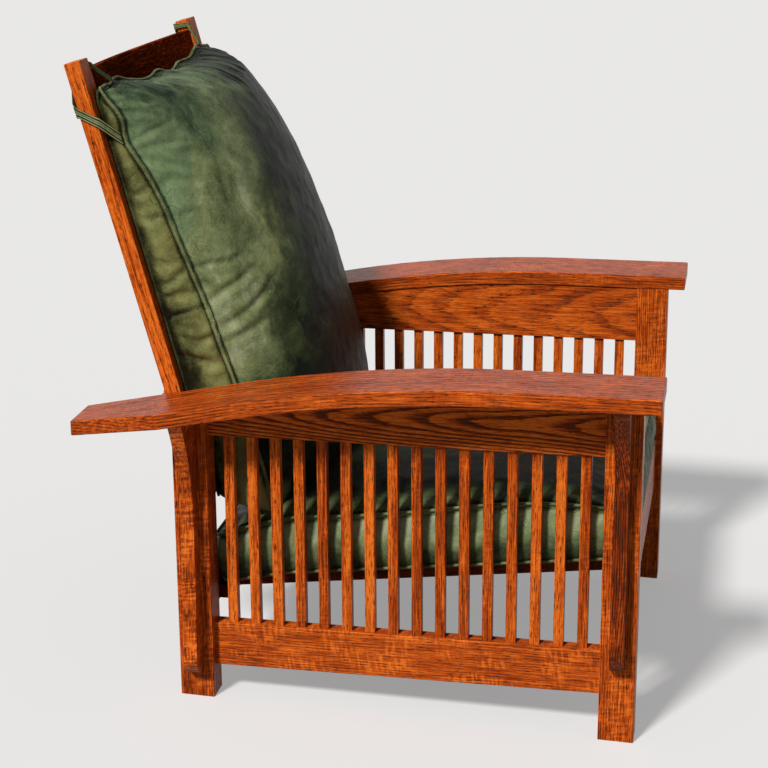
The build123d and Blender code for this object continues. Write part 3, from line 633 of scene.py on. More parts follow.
def normals_of(mesh):
    """A mesh's point normals as an array."""
    ways = np.zeros(len(mesh.vertices) * 3)
    mesh.vertex_normals.foreach_get("vector", ways)
    return ways.reshape(-1, 3)


def move_to(mesh, places):
    """Put a mesh's points at new places."""
    mesh.vertices.foreach_set("co", np.ascontiguousarray(places, float).ravel())
    mesh.update()


def bake(piece):
    """Apply a piece's modifiers to its mesh."""
    bpy.context.view_layer.update()
    shown = piece.evaluated_get(bpy.context.evaluated_depsgraph_get())
    mesh = bpy.data.meshes.new_from_object(shown)
    piece.modifiers.clear()
    piece.data = mesh
    mesh.polygons.foreach_set("use_smooth", [True] * len(mesh.polygons))
    mesh.update()


def distance_to_line(points, line):
    """Each point's distance to a line of points, and the share of the line at which the nearest place is."""
    best = np.full(len(points), 1e9)
    share = np.zeros(len(points))
    for k, (a, b) in enumerate(zip(line, line[1:])):
        way = b - a
        t = np.clip(((points - a) @ way) / max(way @ way, 1e-12), 0, 1)
        gap = np.linalg.norm(points - (a + t[:, None] * way), axis=1)
        nearer = gap < best
        best[nearer] = gap[nearer]
        share[nearer] = (k + t[nearer]) / (len(line) - 1)
    return best, share


# How far from a seam the distance to it is still told
SEAM_REACH = 0.05


def seam_gap(points, seams):
    """Each point's distance to the nearest of several seams, up to a reach."""
    places = np.concatenate(seams)
    tree = KDTree(len(places))
    for k, place in enumerate(places):
        tree.insert(Vector(place), k)
    tree.balance()
    return np.array([min(tree.find(Vector(place))[2], SEAM_REACH) for place in points])


# How the cushions are blown up: the grid of their form, how far from a seam it is held as a share of that
# grid, for how many moments, and as what cloth
VOXEL = 0.0065
HELD_SHARE = 1.1
PUFF_FRAMES = 20
CLOTH = {
    "quality": 5,
    "mass": 0.35,
    "tension_stiffness": 18,
    "compression_stiffness": 18,
    "shear_stiffness": 8,
    "bending_stiffness": 0.6,
    "use_pressure": True,
}


def puff(piece, seams, still, pressure, grow, cap):
    """Blow up a closed form between its seams for a moment, as stuffing does, and keep the shape. still
    tells which points lie on something, and no point moves further than cap."""
    remesh = piece.modifiers.new("remesh", "REMESH")
    remesh.mode = "VOXEL"
    remesh.voxel_size = VOXEL
    bake(piece)
    before = places_of(piece.data)
    held = (seam_gap(before, seams) < VOXEL * HELD_SHARE) | still(before)
    group = piece.vertex_groups.new(name="held")
    group.add([int(i) for i in np.nonzero(held)[0]], 1.0, "REPLACE")
    cloth = piece.modifiers.new("cloth", "CLOTH")
    for name, value in CLOTH.items():
        setattr(cloth.settings, name, value)
    cloth.settings.uniform_pressure_force = pressure
    cloth.settings.shrink_min = -grow
    cloth.settings.vertex_group_mass = "held"
    cloth.settings.effector_weights.gravity = 0
    cloth.collision_settings.use_collision = False
    scene = bpy.context.scene
    scene.frame_start, scene.frame_end = 1, PUFF_FRAMES
    cloth.point_cache.frame_start, cloth.point_cache.frame_end = 1, PUFF_FRAMES
    for moment in range(1, PUFF_FRAMES + 1):
        scene.frame_set(moment)
    bake(piece)
    scene.frame_set(1)
    moved = places_of(piece.data) - before
    far = np.linalg.norm(moved, axis=1, keepdims=True)
    moved *= np.minimum(1, cap / np.maximum(far, 1e-9))
    move_to(piece.data, before + moved)
    piece.vertex_groups.clear()


def refine(piece):
    """Subdivide a piece once and keep the result."""
    finer = piece.modifiers.new("finer", "SUBSURF")
    finer.levels = finer.render_levels = 1
    bake(piece)


def crease(mesh, flat, lines, mask):
    """Press creases into a mesh. flat holds its points in the plane in which the lines are drawn; each line
    is (points, width, depth), and it fades at both ends. A soft ridge rises beside it."""
    places, ways = places_of(mesh), normals_of(mesh)
    shift = np.zeros(len(places))
    for line, width, depth in lines:
        gap, share = distance_to_line(flat, np.array(line, float))
        fade = np.clip(np.sin(pi * np.clip(share * 0.86 + 0.10, 0, 1)), 0, 1) ** 0.6
        shift += depth * fade * (0.55 * hump(gap, 2.1 * width, 1.1 * width) - hump(gap, 0, width))
    move_to(mesh, places + ways * (shift * mask)[:, None])


def note(mesh, name, values):
    """Keep a number for each point of a mesh, which its material reads."""
    kept = mesh.attributes.get(name) or mesh.attributes.new(name, "FLOAT", "POINT")
    kept.data.foreach_set("value", np.ascontiguousarray(values, np.float32))


# Seams. A piping's radius, and the size of the thread's stitches and their place beside a seam
SEAT_PIPING = 0.0026
BACK_PIPING_FRONT = 0.0025
BACK_PIPING_REAR = 0.0024
PIPING_SIDES = 10
STITCH_BESIDE = 0.0052
STITCH_SPACING = 0.0046
STITCH_LENGTH = 0.0038
STITCH_RADIUS = 0.0008
STITCH_LIFT = 0.0004
STITCH_SIDES = 5
# A stitch's rings: place along it, as a share of its length, and share of its radius
STITCH_RINGS = ((-0.5, 0.35), (-0.3, 1.0), (0.3, 1.0), (0.5, 0.35))


def piping(name, line, radius, material, body, closed=False, wear_and_painted_light=0.42):
    """A round cord of leather along a seam, lightened by a painted highlight, or darkened by painted shade
    where the number given for it is below zero.
    """
    line = dense(np.concatenate([line, line[:1]]) if closed else line, 0.004)
    if closed:
        line = line[:-1]
    before = np.roll(line, 1, 0)
    after = np.roll(line, -1, 0)
    if not closed:
        before[0], after[-1] = line[0], line[-1]
    ways = after - before
    ways /= np.linalg.norm(ways, axis=1, keepdims=True)
    first = np.cross(ways[0], (0.31, 0.17, 0.94))
    rings = []
    for way, middle in zip(ways, line):
        first = first - way * (first @ way)
        first /= np.linalg.norm(first)
        rings.append(circle(middle, first, np.cross(way, first), radius, PIPING_SIDES))
    if closed:
        points, faces = np.concatenate(rings), wall(PIPING_SIDES, len(rings), closed=True)
    else:
        points, faces = skin(rings)
    made = mesh_object(name, points, faces, material)
    note(made.data, "wear_and_painted_light", np.full(len(points), wear_and_painted_light))
    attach(made, body)


def stitches(name, piece, line, material, body):
    """Thread stitches along a line of the back frame: short round bars, half sunk in a piece."""
    line = dense(nearest_on(piece, dense(lift_points(line)), STITCH_LIFT), STITCH_SPACING)
    points, faces = [], []
    last = (len(STITCH_RINGS) - 1) * STITCH_SIDES
    for start, end in zip(line, line[1:]):
        way = (end - start) / np.linalg.norm(end - start)
        middle = (start + end) / 2
        first = np.cross(way, (0.3, 0.2, 0.93))
        first /= np.linalg.norm(first)
        base = len(points)
        for place, size in STITCH_RINGS:
            hub = middle + way * place * STITCH_LENGTH
            points.extend(circle(hub, first, np.cross(way, first), STITCH_RADIUS * size, STITCH_SIDES))
        faces += wall(STITCH_SIDES, len(STITCH_RINGS), base)
        faces.append(tuple(base + j for j in range(STITCH_SIDES))[::-1])
        faces.append(tuple(base + last + j for j in range(STITCH_SIDES)))
    made = mesh_object(name, points, faces, material)
    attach(made, body)


def beside(rings, start, way, distance):
    """A line that runs beside a seam, at a distance along each ring's own form."""
    made = []
    for ring in rings:
        k, left = start, distance
        while True:
            here, there = ring[k % len(ring)], ring[(k + way) % len(ring)]
            step = np.linalg.norm(there - here)
            if step >= left:
                made.append(here + (there - here) * (left / step))
                break
            left -= step
            k += way
    return np.array(made)


def nearest_on(piece, line, lift):
    """The line's points, brought to the surface of a piece and lifted from it."""
    mesh = piece.data
    tree = BVHTree.FromPolygons([v.co for v in mesh.vertices], [p.vertices for p in mesh.polygons])
    made = []
    for place in line:
        near, way, _, _ = tree.find_nearest(Vector(place))
        made.append(near + way * lift)
    return np.array(made)


# Cushions


# Seat cushion, in the deck's frame: its ends, its half width, and the corners' radii in front and behind
SEAT_FRONT = -0.357
SEAT_BACK = 0.315
SEAT_HALF = 0.311
SEAT_CORNERS = (0.046, 0.024)
# Height of the upper seam along the side, and of the crown over it
SEAT_WELT = curve_through(
    [(-0.357, 0.078), (-0.320, 0.088), (-0.214, 0.1015), (-0.113, 0.1020), (-0.037, 0.098),
     (0.116, 0.0965), (0.164, 0.098), (0.250, 0.087), (0.315, 0.070)]
)
SEAT_CROWN = 0.031
SEAT_CROWN_POWER = 2.6
SEAT_CROWN_ROUND = 0.60
SEAT_LIFT = 0.0015
SEAT_MIDDLE = (SEAT_BACK + SEAT_FRONT) / 2
SEAT_TURNS = 168
CORNER_STEPS = 12
# Rings of the form: shares of the plan underneath, of the height up the side, and of the plan on top
SEAT_UNDER_SHARES = (0.08, 0.25, 0.45, 0.65, 0.80, 0.90, 0.96)
SEAT_SIDE_SHARES = (0.0, 0.12, 0.28, 0.44, 0.60, 0.76, 0.90, 1.0)
SEAT_TOP_SHARES = (0.975, 0.94, 0.89, 0.82, 0.73, 0.62, 0.50, 0.38, 0.26, 0.15, 0.06)
SEAT_SEAM_RINGS = (len(SEAT_UNDER_SHARES), len(SEAT_UNDER_SHARES) + len(SEAT_SIDE_SHARES) - 1)
SEAT_BULGE = 0.017
SEAT_DROOP = 0.010


def seat_outline():
    """Evenly spaced points round the seat cushion's plan, a rectangle with round corners."""
    front, back = SEAT_CORNERS
    corners = (
        (-SEAT_HALF + front, SEAT_FRONT + front, front, 180),
        (SEAT_HALF - front, SEAT_FRONT + front, front, 270),
        (SEAT_HALF - back, SEAT_BACK - back, back, 0),
        (-SEAT_HALF + back, SEAT_BACK - back, back, 90),
    )
    points = []
    for x, y, radius, first in corners:
        for k in range(CORNER_STEPS + 1):
            angle = radians(first + 90 * k / CORNER_STEPS)
            points.append((x + radius * cos(angle), y + radius * sin(angle)))
    return spaced(points + points[:1], SEAT_TURNS + 1)[:-1]


def seat_crown(x, y):
    """Height of the seat cushion's top over the deck."""
    across = np.clip(np.abs(x / SEAT_HALF), 0, 1) ** SEAT_CROWN_POWER
    length = np.clip(np.abs((y - SEAT_MIDDLE) / (SEAT_BACK - SEAT_MIDDLE)), 0, 1) ** SEAT_CROWN_POWER
    return SEAT_WELT(y) + SEAT_CROWN * ((1 - across) * (1 - length)) ** SEAT_CROWN_ROUND


def seat_ring(outline, share, height):
    """The seat cushion's outline at a share of its size, at a height or at heights."""
    x, y = outline.T
    return np.stack([x * share, SEAT_MIDDLE + (y - SEAT_MIDDLE) * share, height + np.zeros(len(x))], 1)


def seat_rings():
    """Closed rings of the seat cushion: the underside, the boxed side and the crowned top."""
    outline = seat_outline()
    x, y = outline.T
    rings = [seat_ring(outline, share, SEAT_LIFT) for share in SEAT_UNDER_SHARES]
    # The overhang past the seat frame droops a little at the back corners
    droop = SEAT_DROOP * np.clip((y - 0.20) / 0.10, 0, 1) * np.clip((np.abs(x) - 0.27) / 0.03, 0, 1)
    low = SEAT_LIFT + 0.003 - droop
    for share in SEAT_SIDE_SHARES:
        rings.append(seat_ring(outline, 1 + SEAT_BULGE * sin(pi * share), low + share * (SEAT_WELT(y) - low)))
    for share in SEAT_TOP_SHARES:
        flat = seat_ring(outline, share, 0.0)
        rings.append(seat_ring(outline, share, seat_crown(flat[:, 0], flat[:, 1])))
    return rings


def seat_top_at(x, y):
    """Height of the seat cushion's crowned top in the row frame, over a place in plan."""
    deck_y = (y - DECK_ORIGIN[1]) / cos(DECK_SLOPE)
    for _ in range(3):
        top = seat_crown(x, deck_y)
        deck_y = (y - DECK_ORIGIN[1] - top * sin(DECK_SLOPE)) / cos(DECK_SLOPE)
    return DECK_ORIGIN[2] - deck_y * sin(DECK_SLOPE) + top * cos(DECK_SLOPE), deck_y


def seat_held(places):
    """Which points lie on the deck, and keep still while the cushion swells."""
    return to_deck(places)[:, 2] < 0.004


def make_seat_cushion(hide):
    """The seat cushion. Returns the lines of its two seams."""
    rings = seat_rings()
    points, faces = skin(rings)
    piece = mesh_object("seat_cushion_leather", from_deck(points), [face[::-1] for face in faces], hide)
    seams = [from_deck(rings[k]) for k in SEAT_SEAM_RINGS]
    low_seam, high_seam = (dense(np.concatenate([seam, seam[:1]])) for seam in seams)
    puff(piece, [low_seam, high_seam], seat_held, pressure=2.4, grow=0.025, cap=0.008)
    refine(piece)
    mesh = piece.data
    places, ways = places_of(mesh), normals_of(mesh)
    gap, low_gap = seam_gap(places, [high_seam]), seam_gap(places, [low_seam])
    x, y, z = to_deck(places).T
    side = ramp_up(np.abs(ways[:, 0]), 0.6, 0.9)
    # The leather is drawn in beside the piping, and has upright dimples along the side
    groove = -SEAM_GROOVE * hump(gap, 0.0065, 0.0035)
    ripple = (0.0009 * cloud(places, 40.0, 7.0) + 0.0014 * cloud(places, 14.0, 8.0)) * ramp_up(z, 0.004, 0.02)
    dimple = 0.0006 * np.sin(y * 95.0 + 3.0 * cloud(places, 9.0, 9.0)) * side
    move_to(mesh, places + ways * (groove + ripple + dimple)[:, None])

    # Painted shade on the top, which the arms shade, in the grooves beside the piping and low on the sides;
    # painted light up the sides and on the seam, and a painted cold sheen on the sides
    inward = np.minimum(SEAT_HALF - np.abs(x), y - SEAT_FRONT)
    painted_shade = 0.9 * ramp_up(ways[:, 2], 0.6, 0.9) * ramp_up(inward, 0.010, 0.070)
    painted_shade = painted_shade + 0.9 * hump(gap, 0.0062, 0.0030) + 0.35 * side * ramp_up(0.07 - z, 0.0, 0.05)
    note(mesh, "wear_and_painted_light", 1.15 * side * ramp_up(z, -0.01, 0.07) + 0.7 * hump(gap, 0, 0.0032))
    note(mesh, "painted_sheen", 0.35 * side)
    note(mesh, "painted_shade", np.clip(painted_shade, 0, 1.2))
    note(mesh, "gusset", 0.25 * side * hump(low_gap, 0, 0.02))
    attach(piece, "chair")
    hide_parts("seat_cushion")
    return seams


# Back cushion, in the back frame, from the bottom to the hem at the top. Each station has the crown's
# height and depth, the side seam's height and depth, and the height at the back
BACK_HALF = 0.297
BACK_STATIONS = np.array(
    [
        (-0.203, 0.105, -0.198, 0.088, -0.150),
        (-0.185, 0.150, -0.180, 0.090, -0.140),
        (-0.150, 0.180, -0.140, 0.090, -0.125),
        (-0.100, 0.191, -0.085, 0.090, -0.090),
        (-0.040, 0.199, -0.030, 0.088, -0.030),
        (0.030, 0.201, 0.032, 0.085, 0.030),
        (0.091, 0.201, 0.091, 0.080, 0.090),
        (0.146, 0.200, 0.146, 0.077, 0.146),
        (0.200, 0.197, 0.200, 0.071, 0.200),
        (0.271, 0.188, 0.271, 0.0625, 0.271),
        (0.335, 0.175, 0.335, 0.0555, 0.330),
        (0.390, 0.161, 0.390, 0.0425, 0.385),
        (0.442, 0.143, 0.436, 0.0285, 0.430),
        (0.480, 0.121, 0.468, 0.0325, 0.462),
        (0.504, 0.097, 0.488, 0.0275, 0.482),
        (0.515, 0.074, 0.502, 0.0210, 0.494),
        (0.5180, 0.052, 0.513, 0.0165, 0.500),
        (0.5160, 0.033, 0.519, 0.0145, 0.504),
        (0.509, 0.018, 0.524, 0.013, 0.506),
    ]
)
HEM = curve_through(
    [(-0.297, 0.526), (-0.274, 0.526), (-0.252, 0.523), (-0.240, 0.5275), (-0.166, 0.518), (-0.093, 0.5085),
     (-0.060, 0.509), (-0.028, 0.514), (0.036, 0.503), (0.063, 0.504), (0.090, 0.511), (0.114, 0.511),
     (0.177, 0.512), (0.212, 0.522), (0.234, 0.526), (0.251, 0.522), (0.297, 0.520)]
)
# How many rings the form has, and how many steps along a row and through a side
BACK_RINGS = 84
BACK_ROW = 64
BACK_SIDE = 6
# The side seam's depth at each height
SEAM_DEPTH = curve_through(list(zip(BACK_STATIONS[:, 2], BACK_STATIONS[:, 3])))
# The painted sheen in a strip beside the near seam ends at one line, and the painted shade of the far part,
# which turns away from the light, starts past another: x at each height
SHEEN_STRIP_EDGE = curve_through(
    [(-0.20, -0.31), (0.22, -0.296), (0.261, -0.287), (0.319, -0.268), (0.371, -0.246), (0.424, -0.223),
     (0.53, -0.20)]
)
SHADED_PART_EDGE = curve_through(
    [(-0.20, -0.24), (0.0, -0.21), (0.083, -0.18), (0.181, -0.15), (0.257, -0.115), (0.338, -0.080),
     (0.424, -0.03), (0.53, 0.05)]
)
# How deep the leather is drawn in beside a piping, and how far the cushion clears what it leans on
SEAM_GROOVE = 0.0026
SEAT_GAP = 0.0010
BACK_GAP = 0.0008
PIPE_GAP = 0.0040
GATHER_WIDTH = 0.0042


def back_rings():
    """Closed rings of the back cushion. Each has a front row, a side, a back row and a side."""
    places = np.arange(len(BACK_STATIONS))
    columns = [curve_through(list(zip(places, column))) for column in BACK_STATIONS.T]
    turn = np.linspace(-1, 1, BACK_ROW + 1) * pi / 2
    across = np.sin(turn)
    swell = (1 - np.abs(across) ** 2.2) ** 0.58
    rings = []
    for place in np.linspace(0, len(BACK_STATIONS) - 1, BACK_RINGS):
        crown_u, crown_v, welt_u, welt_v, back_u = (float(column(place)) for column in columns)
        top = min(max((place - len(BACK_STATIONS) + 5) / 4, 0), 1) ** 2
        half = BACK_HALF * (1 - 0.012 * sin(pi * place / (len(BACK_STATIONS) - 1)))
        x = across * half
        u = welt_u + (crown_u - welt_u) * swell
        v = welt_v + (crown_v - welt_v) * swell
        last = BACK_STATIONS[-1]
        u = u + top * (HEM(x) - (last[2] + (last[0] - last[2]) * swell))
        # Between its corners the top sags, like its hem
        sag = min(max((place - 11) / 3.5, 0), 1) * min(max((len(BACK_STATIONS) - 1 - place) / 1.5, 0), 1)
        u = u - 0.0125 * sag * (1 - across**2)
        front = np.stack([x, v, u], 1)
        rear_u = back_u + top * (HEM(x) - 0.004 - last[4])
        rear = np.stack([x, np.full(len(x), 0.0022) + top * 0.006, rear_u], 1)[::-1]
        sides = []
        for first, second, way in ((front[-1], rear[0], 1), (rear[-1], front[0], -1)):
            share = np.arange(1, BACK_SIDE)[:, None] / BACK_SIDE
            side = first + (second - first) * share
            side[:, 0] += way * 0.012 * np.sin(pi * share[:, 0]) * min(1, welt_v / 0.04)
            sides.append(side)
        rings.append(np.concatenate([front, sides[0], rear, sides[1]]))
    return rings


# Creases of the back cushion's front, as (x, up) points, with width and depth
BACK_CREASES = [
    ([(-0.297, 0.221), (-0.279, 0.219), (-0.256, 0.212), (-0.236, 0.214)], 0.0045, 0.0040),
    ([(-0.297, 0.160), (-0.277, 0.173), (-0.250, 0.180), (-0.222, 0.190)], 0.0055, 0.0050),
    ([(-0.297, 0.118), (-0.280, 0.121), (-0.252, 0.131), (-0.217, 0.147), (-0.200, 0.160)], 0.0060, 0.0055),
    ([(-0.297, 0.092), (-0.262, 0.098), (-0.225, 0.106)], 0.0050, 0.0028),
    ([(-0.297, 0.352), (-0.277, 0.365), (-0.258, 0.346)], 0.0060, 0.0035),
    ([(-0.297, 0.300), (-0.280, 0.306), (-0.262, 0.300)], 0.0050, 0.0026),
    ([(-0.297, 0.500), (-0.271, 0.489), (-0.240, 0.484)], 0.0040, 0.0034),
    ([(-0.296, 0.512), (-0.262, 0.507), (-0.225, 0.506)], 0.0040, 0.0034),
    ([(-0.297, 0.485), (-0.268, 0.468), (-0.246, 0.446)], 0.0045, 0.0034),
    ([(-0.297, 0.410), (-0.284, 0.397), (-0.262, 0.375), (-0.240, 0.360)], 0.0055, 0.0040),
    ([(-0.297, 0.420), (-0.270, 0.418), (-0.230, 0.408)], 0.0050, 0.0030),
    ([(-0.297, 0.432), (-0.275, 0.440), (-0.245, 0.446)], 0.0045, 0.0028),
    ([(-0.223, 0.440), (-0.246, 0.371), (-0.268, 0.319), (-0.287, 0.255)], 0.0080, 0.0022),
    ([(0.297, 0.420), (0.270, 0.405), (0.240, 0.390)], 0.0055, 0.0035),
    ([(0.297, 0.505), (0.262, 0.495), (0.225, 0.490)], 0.0045, 0.0035),
    ([(0.297, 0.150), (0.262, 0.162), (0.225, 0.176)], 0.0060, 0.0045),
    ([(0.297, 0.230), (0.262, 0.228), (0.230, 0.220)], 0.0055, 0.0035),
]
# Short gathers that hang from the hem: x, length and depth
HEM_GATHERS = [
    (-0.262, 0.050, 0.0040), (-0.240, 0.035, 0.0030), (-0.205, 0.045, 0.0036), (-0.168, 0.055, 0.0034),
    (-0.120, 0.040, 0.0026), (-0.066, 0.060, 0.0036), (-0.020, 0.045, 0.0030), (0.036, 0.060, 0.0038),
    (0.088, 0.050, 0.0032), (0.130, 0.045, 0.0032), (0.180, 0.050, 0.0036), (0.222, 0.045, 0.0036),
    (0.255, 0.045, 0.0038),
]
# Creases of the near gusset, as (forward, up) points
GUSSET_CREASES = [
    ([(0.004, 0.149), (0.036, 0.158), (0.074, 0.160)], 0.0022, 0.0034),
    ([(0.008, 0.212), (0.034, 0.206), (0.060, 0.222)], 0.0055, 0.0034),
    ([(0.012, 0.250), (0.036, 0.238), (0.058, 0.236)], 0.0050, 0.0030),
    ([(0.010, 0.182), (0.040, 0.190), (0.066, 0.178)], 0.0055, 0.0034),
    ([(0.020, 0.120), (0.050, 0.104), (0.074, 0.108)], 0.0060, 0.0040),
    ([(0.008, 0.090), (0.044, 0.076), (0.076, 0.060)], 0.0065, 0.0044),
    ([(0.012, 0.318), (0.036, 0.308), (0.050, 0.316)], 0.0050, 0.0030),
    ([(0.006, 0.362), (0.024, 0.352), (0.042, 0.360)], 0.0045, 0.0028),
    ([(0.006, 0.020), (0.040, 0.010), (0.078, -0.006)], 0.0070, 0.0045),
]


def back_seams(rings):
    """The back cushion's front and rear seams: up one side, along the top and down the other."""
    rear_first, rear_last = BACK_ROW + BACK_SIDE, 2 * BACK_ROW + BACK_SIDE
    loops = []
    for low, high, way in ((0, BACK_ROW, 1), (rear_last, rear_first, -1)):
        up = [ring[low] for ring in rings]
        down = [ring[high] for ring in rings][::-1]
        top = [rings[-1][k] for k in range(low + way, high, way)]
        loops.append(np.array(up + top + down))
    return loops


def clear_of_seat(places):
    """Keep the back cushion's points out of the seat cushion."""
    top, deck_y = seat_top_at(places[:, 0], places[:, 1])
    over = (deck_y > SEAT_FRONT) & (deck_y < SEAT_BACK + 0.004) & (np.abs(places[:, 0]) < SEAT_HALF)
    floor = top + SEAT_GAP
    low = over & (places[:, 2] < floor)
    places = places.copy()
    places[low, 2] = floor[low]
    return places


def clear_of_posts(places, gap):
    """Keep the back cushion's points in front of the posts and slats."""
    local = to_back(places)
    local[:, 1] = np.maximum(local[:, 1], gap)
    return lift_points(local)


def hem_lifted(line):
    """The front seam's line, standing a little proud along the hem at the top."""
    local = to_back(line)
    top = ramp_up(local[:, 2], 0.49, 0.51) * ramp_up(0.285 - np.abs(local[:, 0]), 0.0, 0.02)
    local[:, 2] += 0.0022 * top
    local[:, 1] -= 0.0010 * top
    return lift_points(local)


def gather(x, size, depth):
    """A crease that hangs from the hem, drawn in towards the cushion's middle."""
    top = float(HEM(x))
    return [(x, top), (x * 0.985, top - 0.4 * size), (x * 0.97, top - size)], GATHER_WIDTH, depth


def back_held(places):
    """Which points lie on the slats or at the foot, and keep still while the cushion swells."""
    local = to_back(places)
    return (local[:, 1] < 0.006) | (local[:, 2] < -0.15)


def tint_back(mesh, local, gap, front, side):
    """Note where the back cushion's leather gets painted sheen, painted light and painted shade, and where it
    is olive.
    """
    x, v, u = local.T
    blots = cloud(local, 30.0, 4.0)
    # Painted sheen in a strip beside the near seam, painted shade over the far part, and painted light over
    # the middle
    past = x - SHADED_PART_EDGE(u) + 0.035 * cloud(local, 8.0, 5.0) + 0.02 * blots
    sheen_strip = front * ramp_up(SHEEN_STRIP_EDGE(u) + 0.010 * blots - x, -0.006, 0.010)
    shaded_part = front * ramp_up(past, -0.05, 0.08)
    middle = front * (1 - sheen_strip) * (1 - ramp_up(past, -0.08, 0.01))
    middle *= ramp_up(0.50 - u, 0.0, 0.14) * ramp_up(u, -0.02, 0.08)
    blob = front * hump(x, -0.200, 0.034) * hump(u, 0.425, 0.060)
    # Painted shade at the foot where the seat meets it, low on the near side, along the post and in the cross
    # seam
    foot = front * ramp_up(0.04 - u, 0.0, 0.10)
    low_side = side * ramp_up(0.19 - u, 0.0, 0.10) * ramp_up(0.060 - v, 0.0, 0.035)
    by_post = side * ramp_up(0.024 - v, 0.0, 0.016)
    cross_seam = side * hump(u, 0.160, 0.004)
    low_corner = hump(u, -0.165, 0.02) * (x < -0.27)

    # Painted shade, with a darker patch and the grooves beside the piping
    painted_shade = 0.70 * shaded_part + 0.30 * blob + 0.75 * foot + 0.62 * low_side + 0.7 * by_post + 0.5 * cross_seam
    painted_shade += 0.9 * hump(gap, 0.0050, 0.0024)
    # Painted light: the sheen strip, the middle, beside the seam and on the sides, and a lighter low corner
    wear_and_painted_light = 0.72 * sheen_strip * (1 - 0.5 * blob) * ramp_up(0.52 - u, -0.02, 0.07) + 0.70 * middle
    wear_and_painted_light += 0.6 * hump(gap, 0, 0.0026) + 0.42 * side + 0.7 * low_corner
    note(mesh, "wear_and_painted_light", wear_and_painted_light)
    note(mesh, "painted_shade", np.clip(painted_shade, 0, 1.3))
    note(mesh, "gusset", side * (x < 0) + 0.5 * side * (x > 0))
    # Painted cold sheen: in the strip, on the darker patch and along the top
    note(mesh, "painted_sheen", np.clip(sheen_strip + blob + 0.8 * front * ramp_up(u, 0.40, 0.52) * (1 - shaded_part), 0, 1))


def make_back_cushion(hide):
    """The back cushion with its stitches. Returns the lines of its front and rear seams."""
    rings = back_rings()
    points, faces = skin(rings, (BACK_ROW, BACK_SIDE))
    piece = mesh_object("back_cushion_leather", lift_points(points), faces, hide)
    seams = [dense(lift_points(seam)) for seam in back_seams(rings)]
    puff(piece, seams, back_held, pressure=2.6, grow=0.022, cap=0.0035)
    refine(piece)
    mesh = piece.data
    local = to_back(places_of(mesh))
    x, v, u = local.T
    gap = seam_gap(places_of(mesh), seams[:1])
    ways = normals_of(mesh) @ np.array(BACK_SLOPE)
    beyond = ramp_up(v - SEAM_DEPTH(u), -0.0015, 0.0015)
    front = np.where(np.abs(x) > 0.270, beyond, ramp_up(-ways[:, 1], -0.1, 0.25)) * (v > 0.011)
    side = ramp_up(np.abs(ways[:, 0]), 0.30, 0.60) * (1 - front)
    gathers = [gather(*sizes) for sizes in HEM_GATHERS]
    crease(mesh, np.stack([x, u], 1), BACK_CREASES + gathers, 0.5 * front)
    crease(mesh, np.stack([v, u], 1), GUSSET_CREASES, 0.8 * side)
    places, ways = places_of(mesh), normals_of(mesh)
    # The leather is drawn in on both sides of the piping
    groove = -SEAM_GROOVE * hump(gap, 0.0055, 0.0028)
    ripple = (0.0011 * cloud(places, 42.0, 1.0) + 0.0016 * cloud(places, 17.0, 2.0)) * ramp_up(v, 0.01, 0.03)
    places = clear_of_seat(places + ways * (groove + ripple)[:, None])
    move_to(mesh, clear_of_posts(places, BACK_GAP))
    tint_back(mesh, local, gap, front, side)
    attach(piece, "back_pad")
    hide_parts("back_cushion")

    thread = waxed_thread()
    for k, (start, way) in enumerate(((0, 1), (0, -1), (BACK_ROW, -1), (BACK_ROW, 1))):
        line = beside(rings[8:], start, way, STITCH_BESIDE)
        stitches(f"back_stitches_{k}", piece, line, thread, "back_pad")
    stitches("back_stitches_hem", piece, rings[-5][3 : BACK_ROW - 2], thread, "back_pad")
    return seams


# Tie straps. The right one's middle line in the back frame: across, forward of the posts' faces, up
STRAP_STOPS = [
    (-0.2440, 0.0170, 0.6530), (-0.2600, 0.0045, 0.6750), (-0.2705, -0.0015, 0.6890),
    (-0.2708, -0.0286, 0.6920), (-0.3160, -0.0286, 0.6256), (-0.3160, 0.0026, 0.6000),
    (-0.2995, 0.0245, 0.5670),
]
STRAP_WIDTHS = (0.0070, 0.0070, 0.0072, 0.0090, 0.0128, 0.0128, 0.0120)
# A strap's section: shares of half its width, and of its thickness
STRAP_SECTION = [
    (-1.0, -0.3), (-0.86, -0.5), (0.86, -0.5), (1.0, -0.3), (1.0, 0.4), (0.90, 0.75), (0.74, 0.75),
    (0.60, 0.35), (0.46, 0.35), (0.30, 0.80), (0.10, 0.80), (0.0, 0.05), (-0.10, 0.80), (-0.30, 0.80),
    (-0.46, 0.35), (-0.60, 0.35), (-0.74, 0.75), (-0.90, 0.75), (-1.0, 0.4),
]
STRAP_THICKNESS = 0.0024
STRAP_STEPS = 90
# How much of a run each rounded corner takes, in metres and as a share of the run
STRAP_CUT = 0.0045
STRAP_CUT_SHARE = 0.45


def strap_path(stops, widths):
    """Places and widths along a strap, with its corners rounded."""
    stops = [Vector(stop) for stop in stops]
    places = [stops[0]]
    spread = [widths[0]]
    for k in range(1, len(stops) - 1):
        before, here, after = stops[k - 1], stops[k], stops[k + 1]
        cut_in = min(STRAP_CUT, (here - before).length * STRAP_CUT_SHARE)
        cut_out = min(STRAP_CUT, (after - here).length * STRAP_CUT_SHARE)
        start = here + (before - here).normalized() * cut_in
        end = here + (after - here).normalized() * cut_out
        for share in (0.0, 0.25, 0.5, 0.75, 1.0):
            places.append(start * (1 - share) ** 2 + here * 2 * share * (1 - share) + end * share**2)
            spread.append(widths[k])
    places.append(stops[-1])
    spread.append(widths[-1])
    along = lengths_along(np.array(places))
    at = np.linspace(0, along[-1], STRAP_STEPS)
    return spaced(places, STRAP_STEPS), np.interp(at, along, spread)


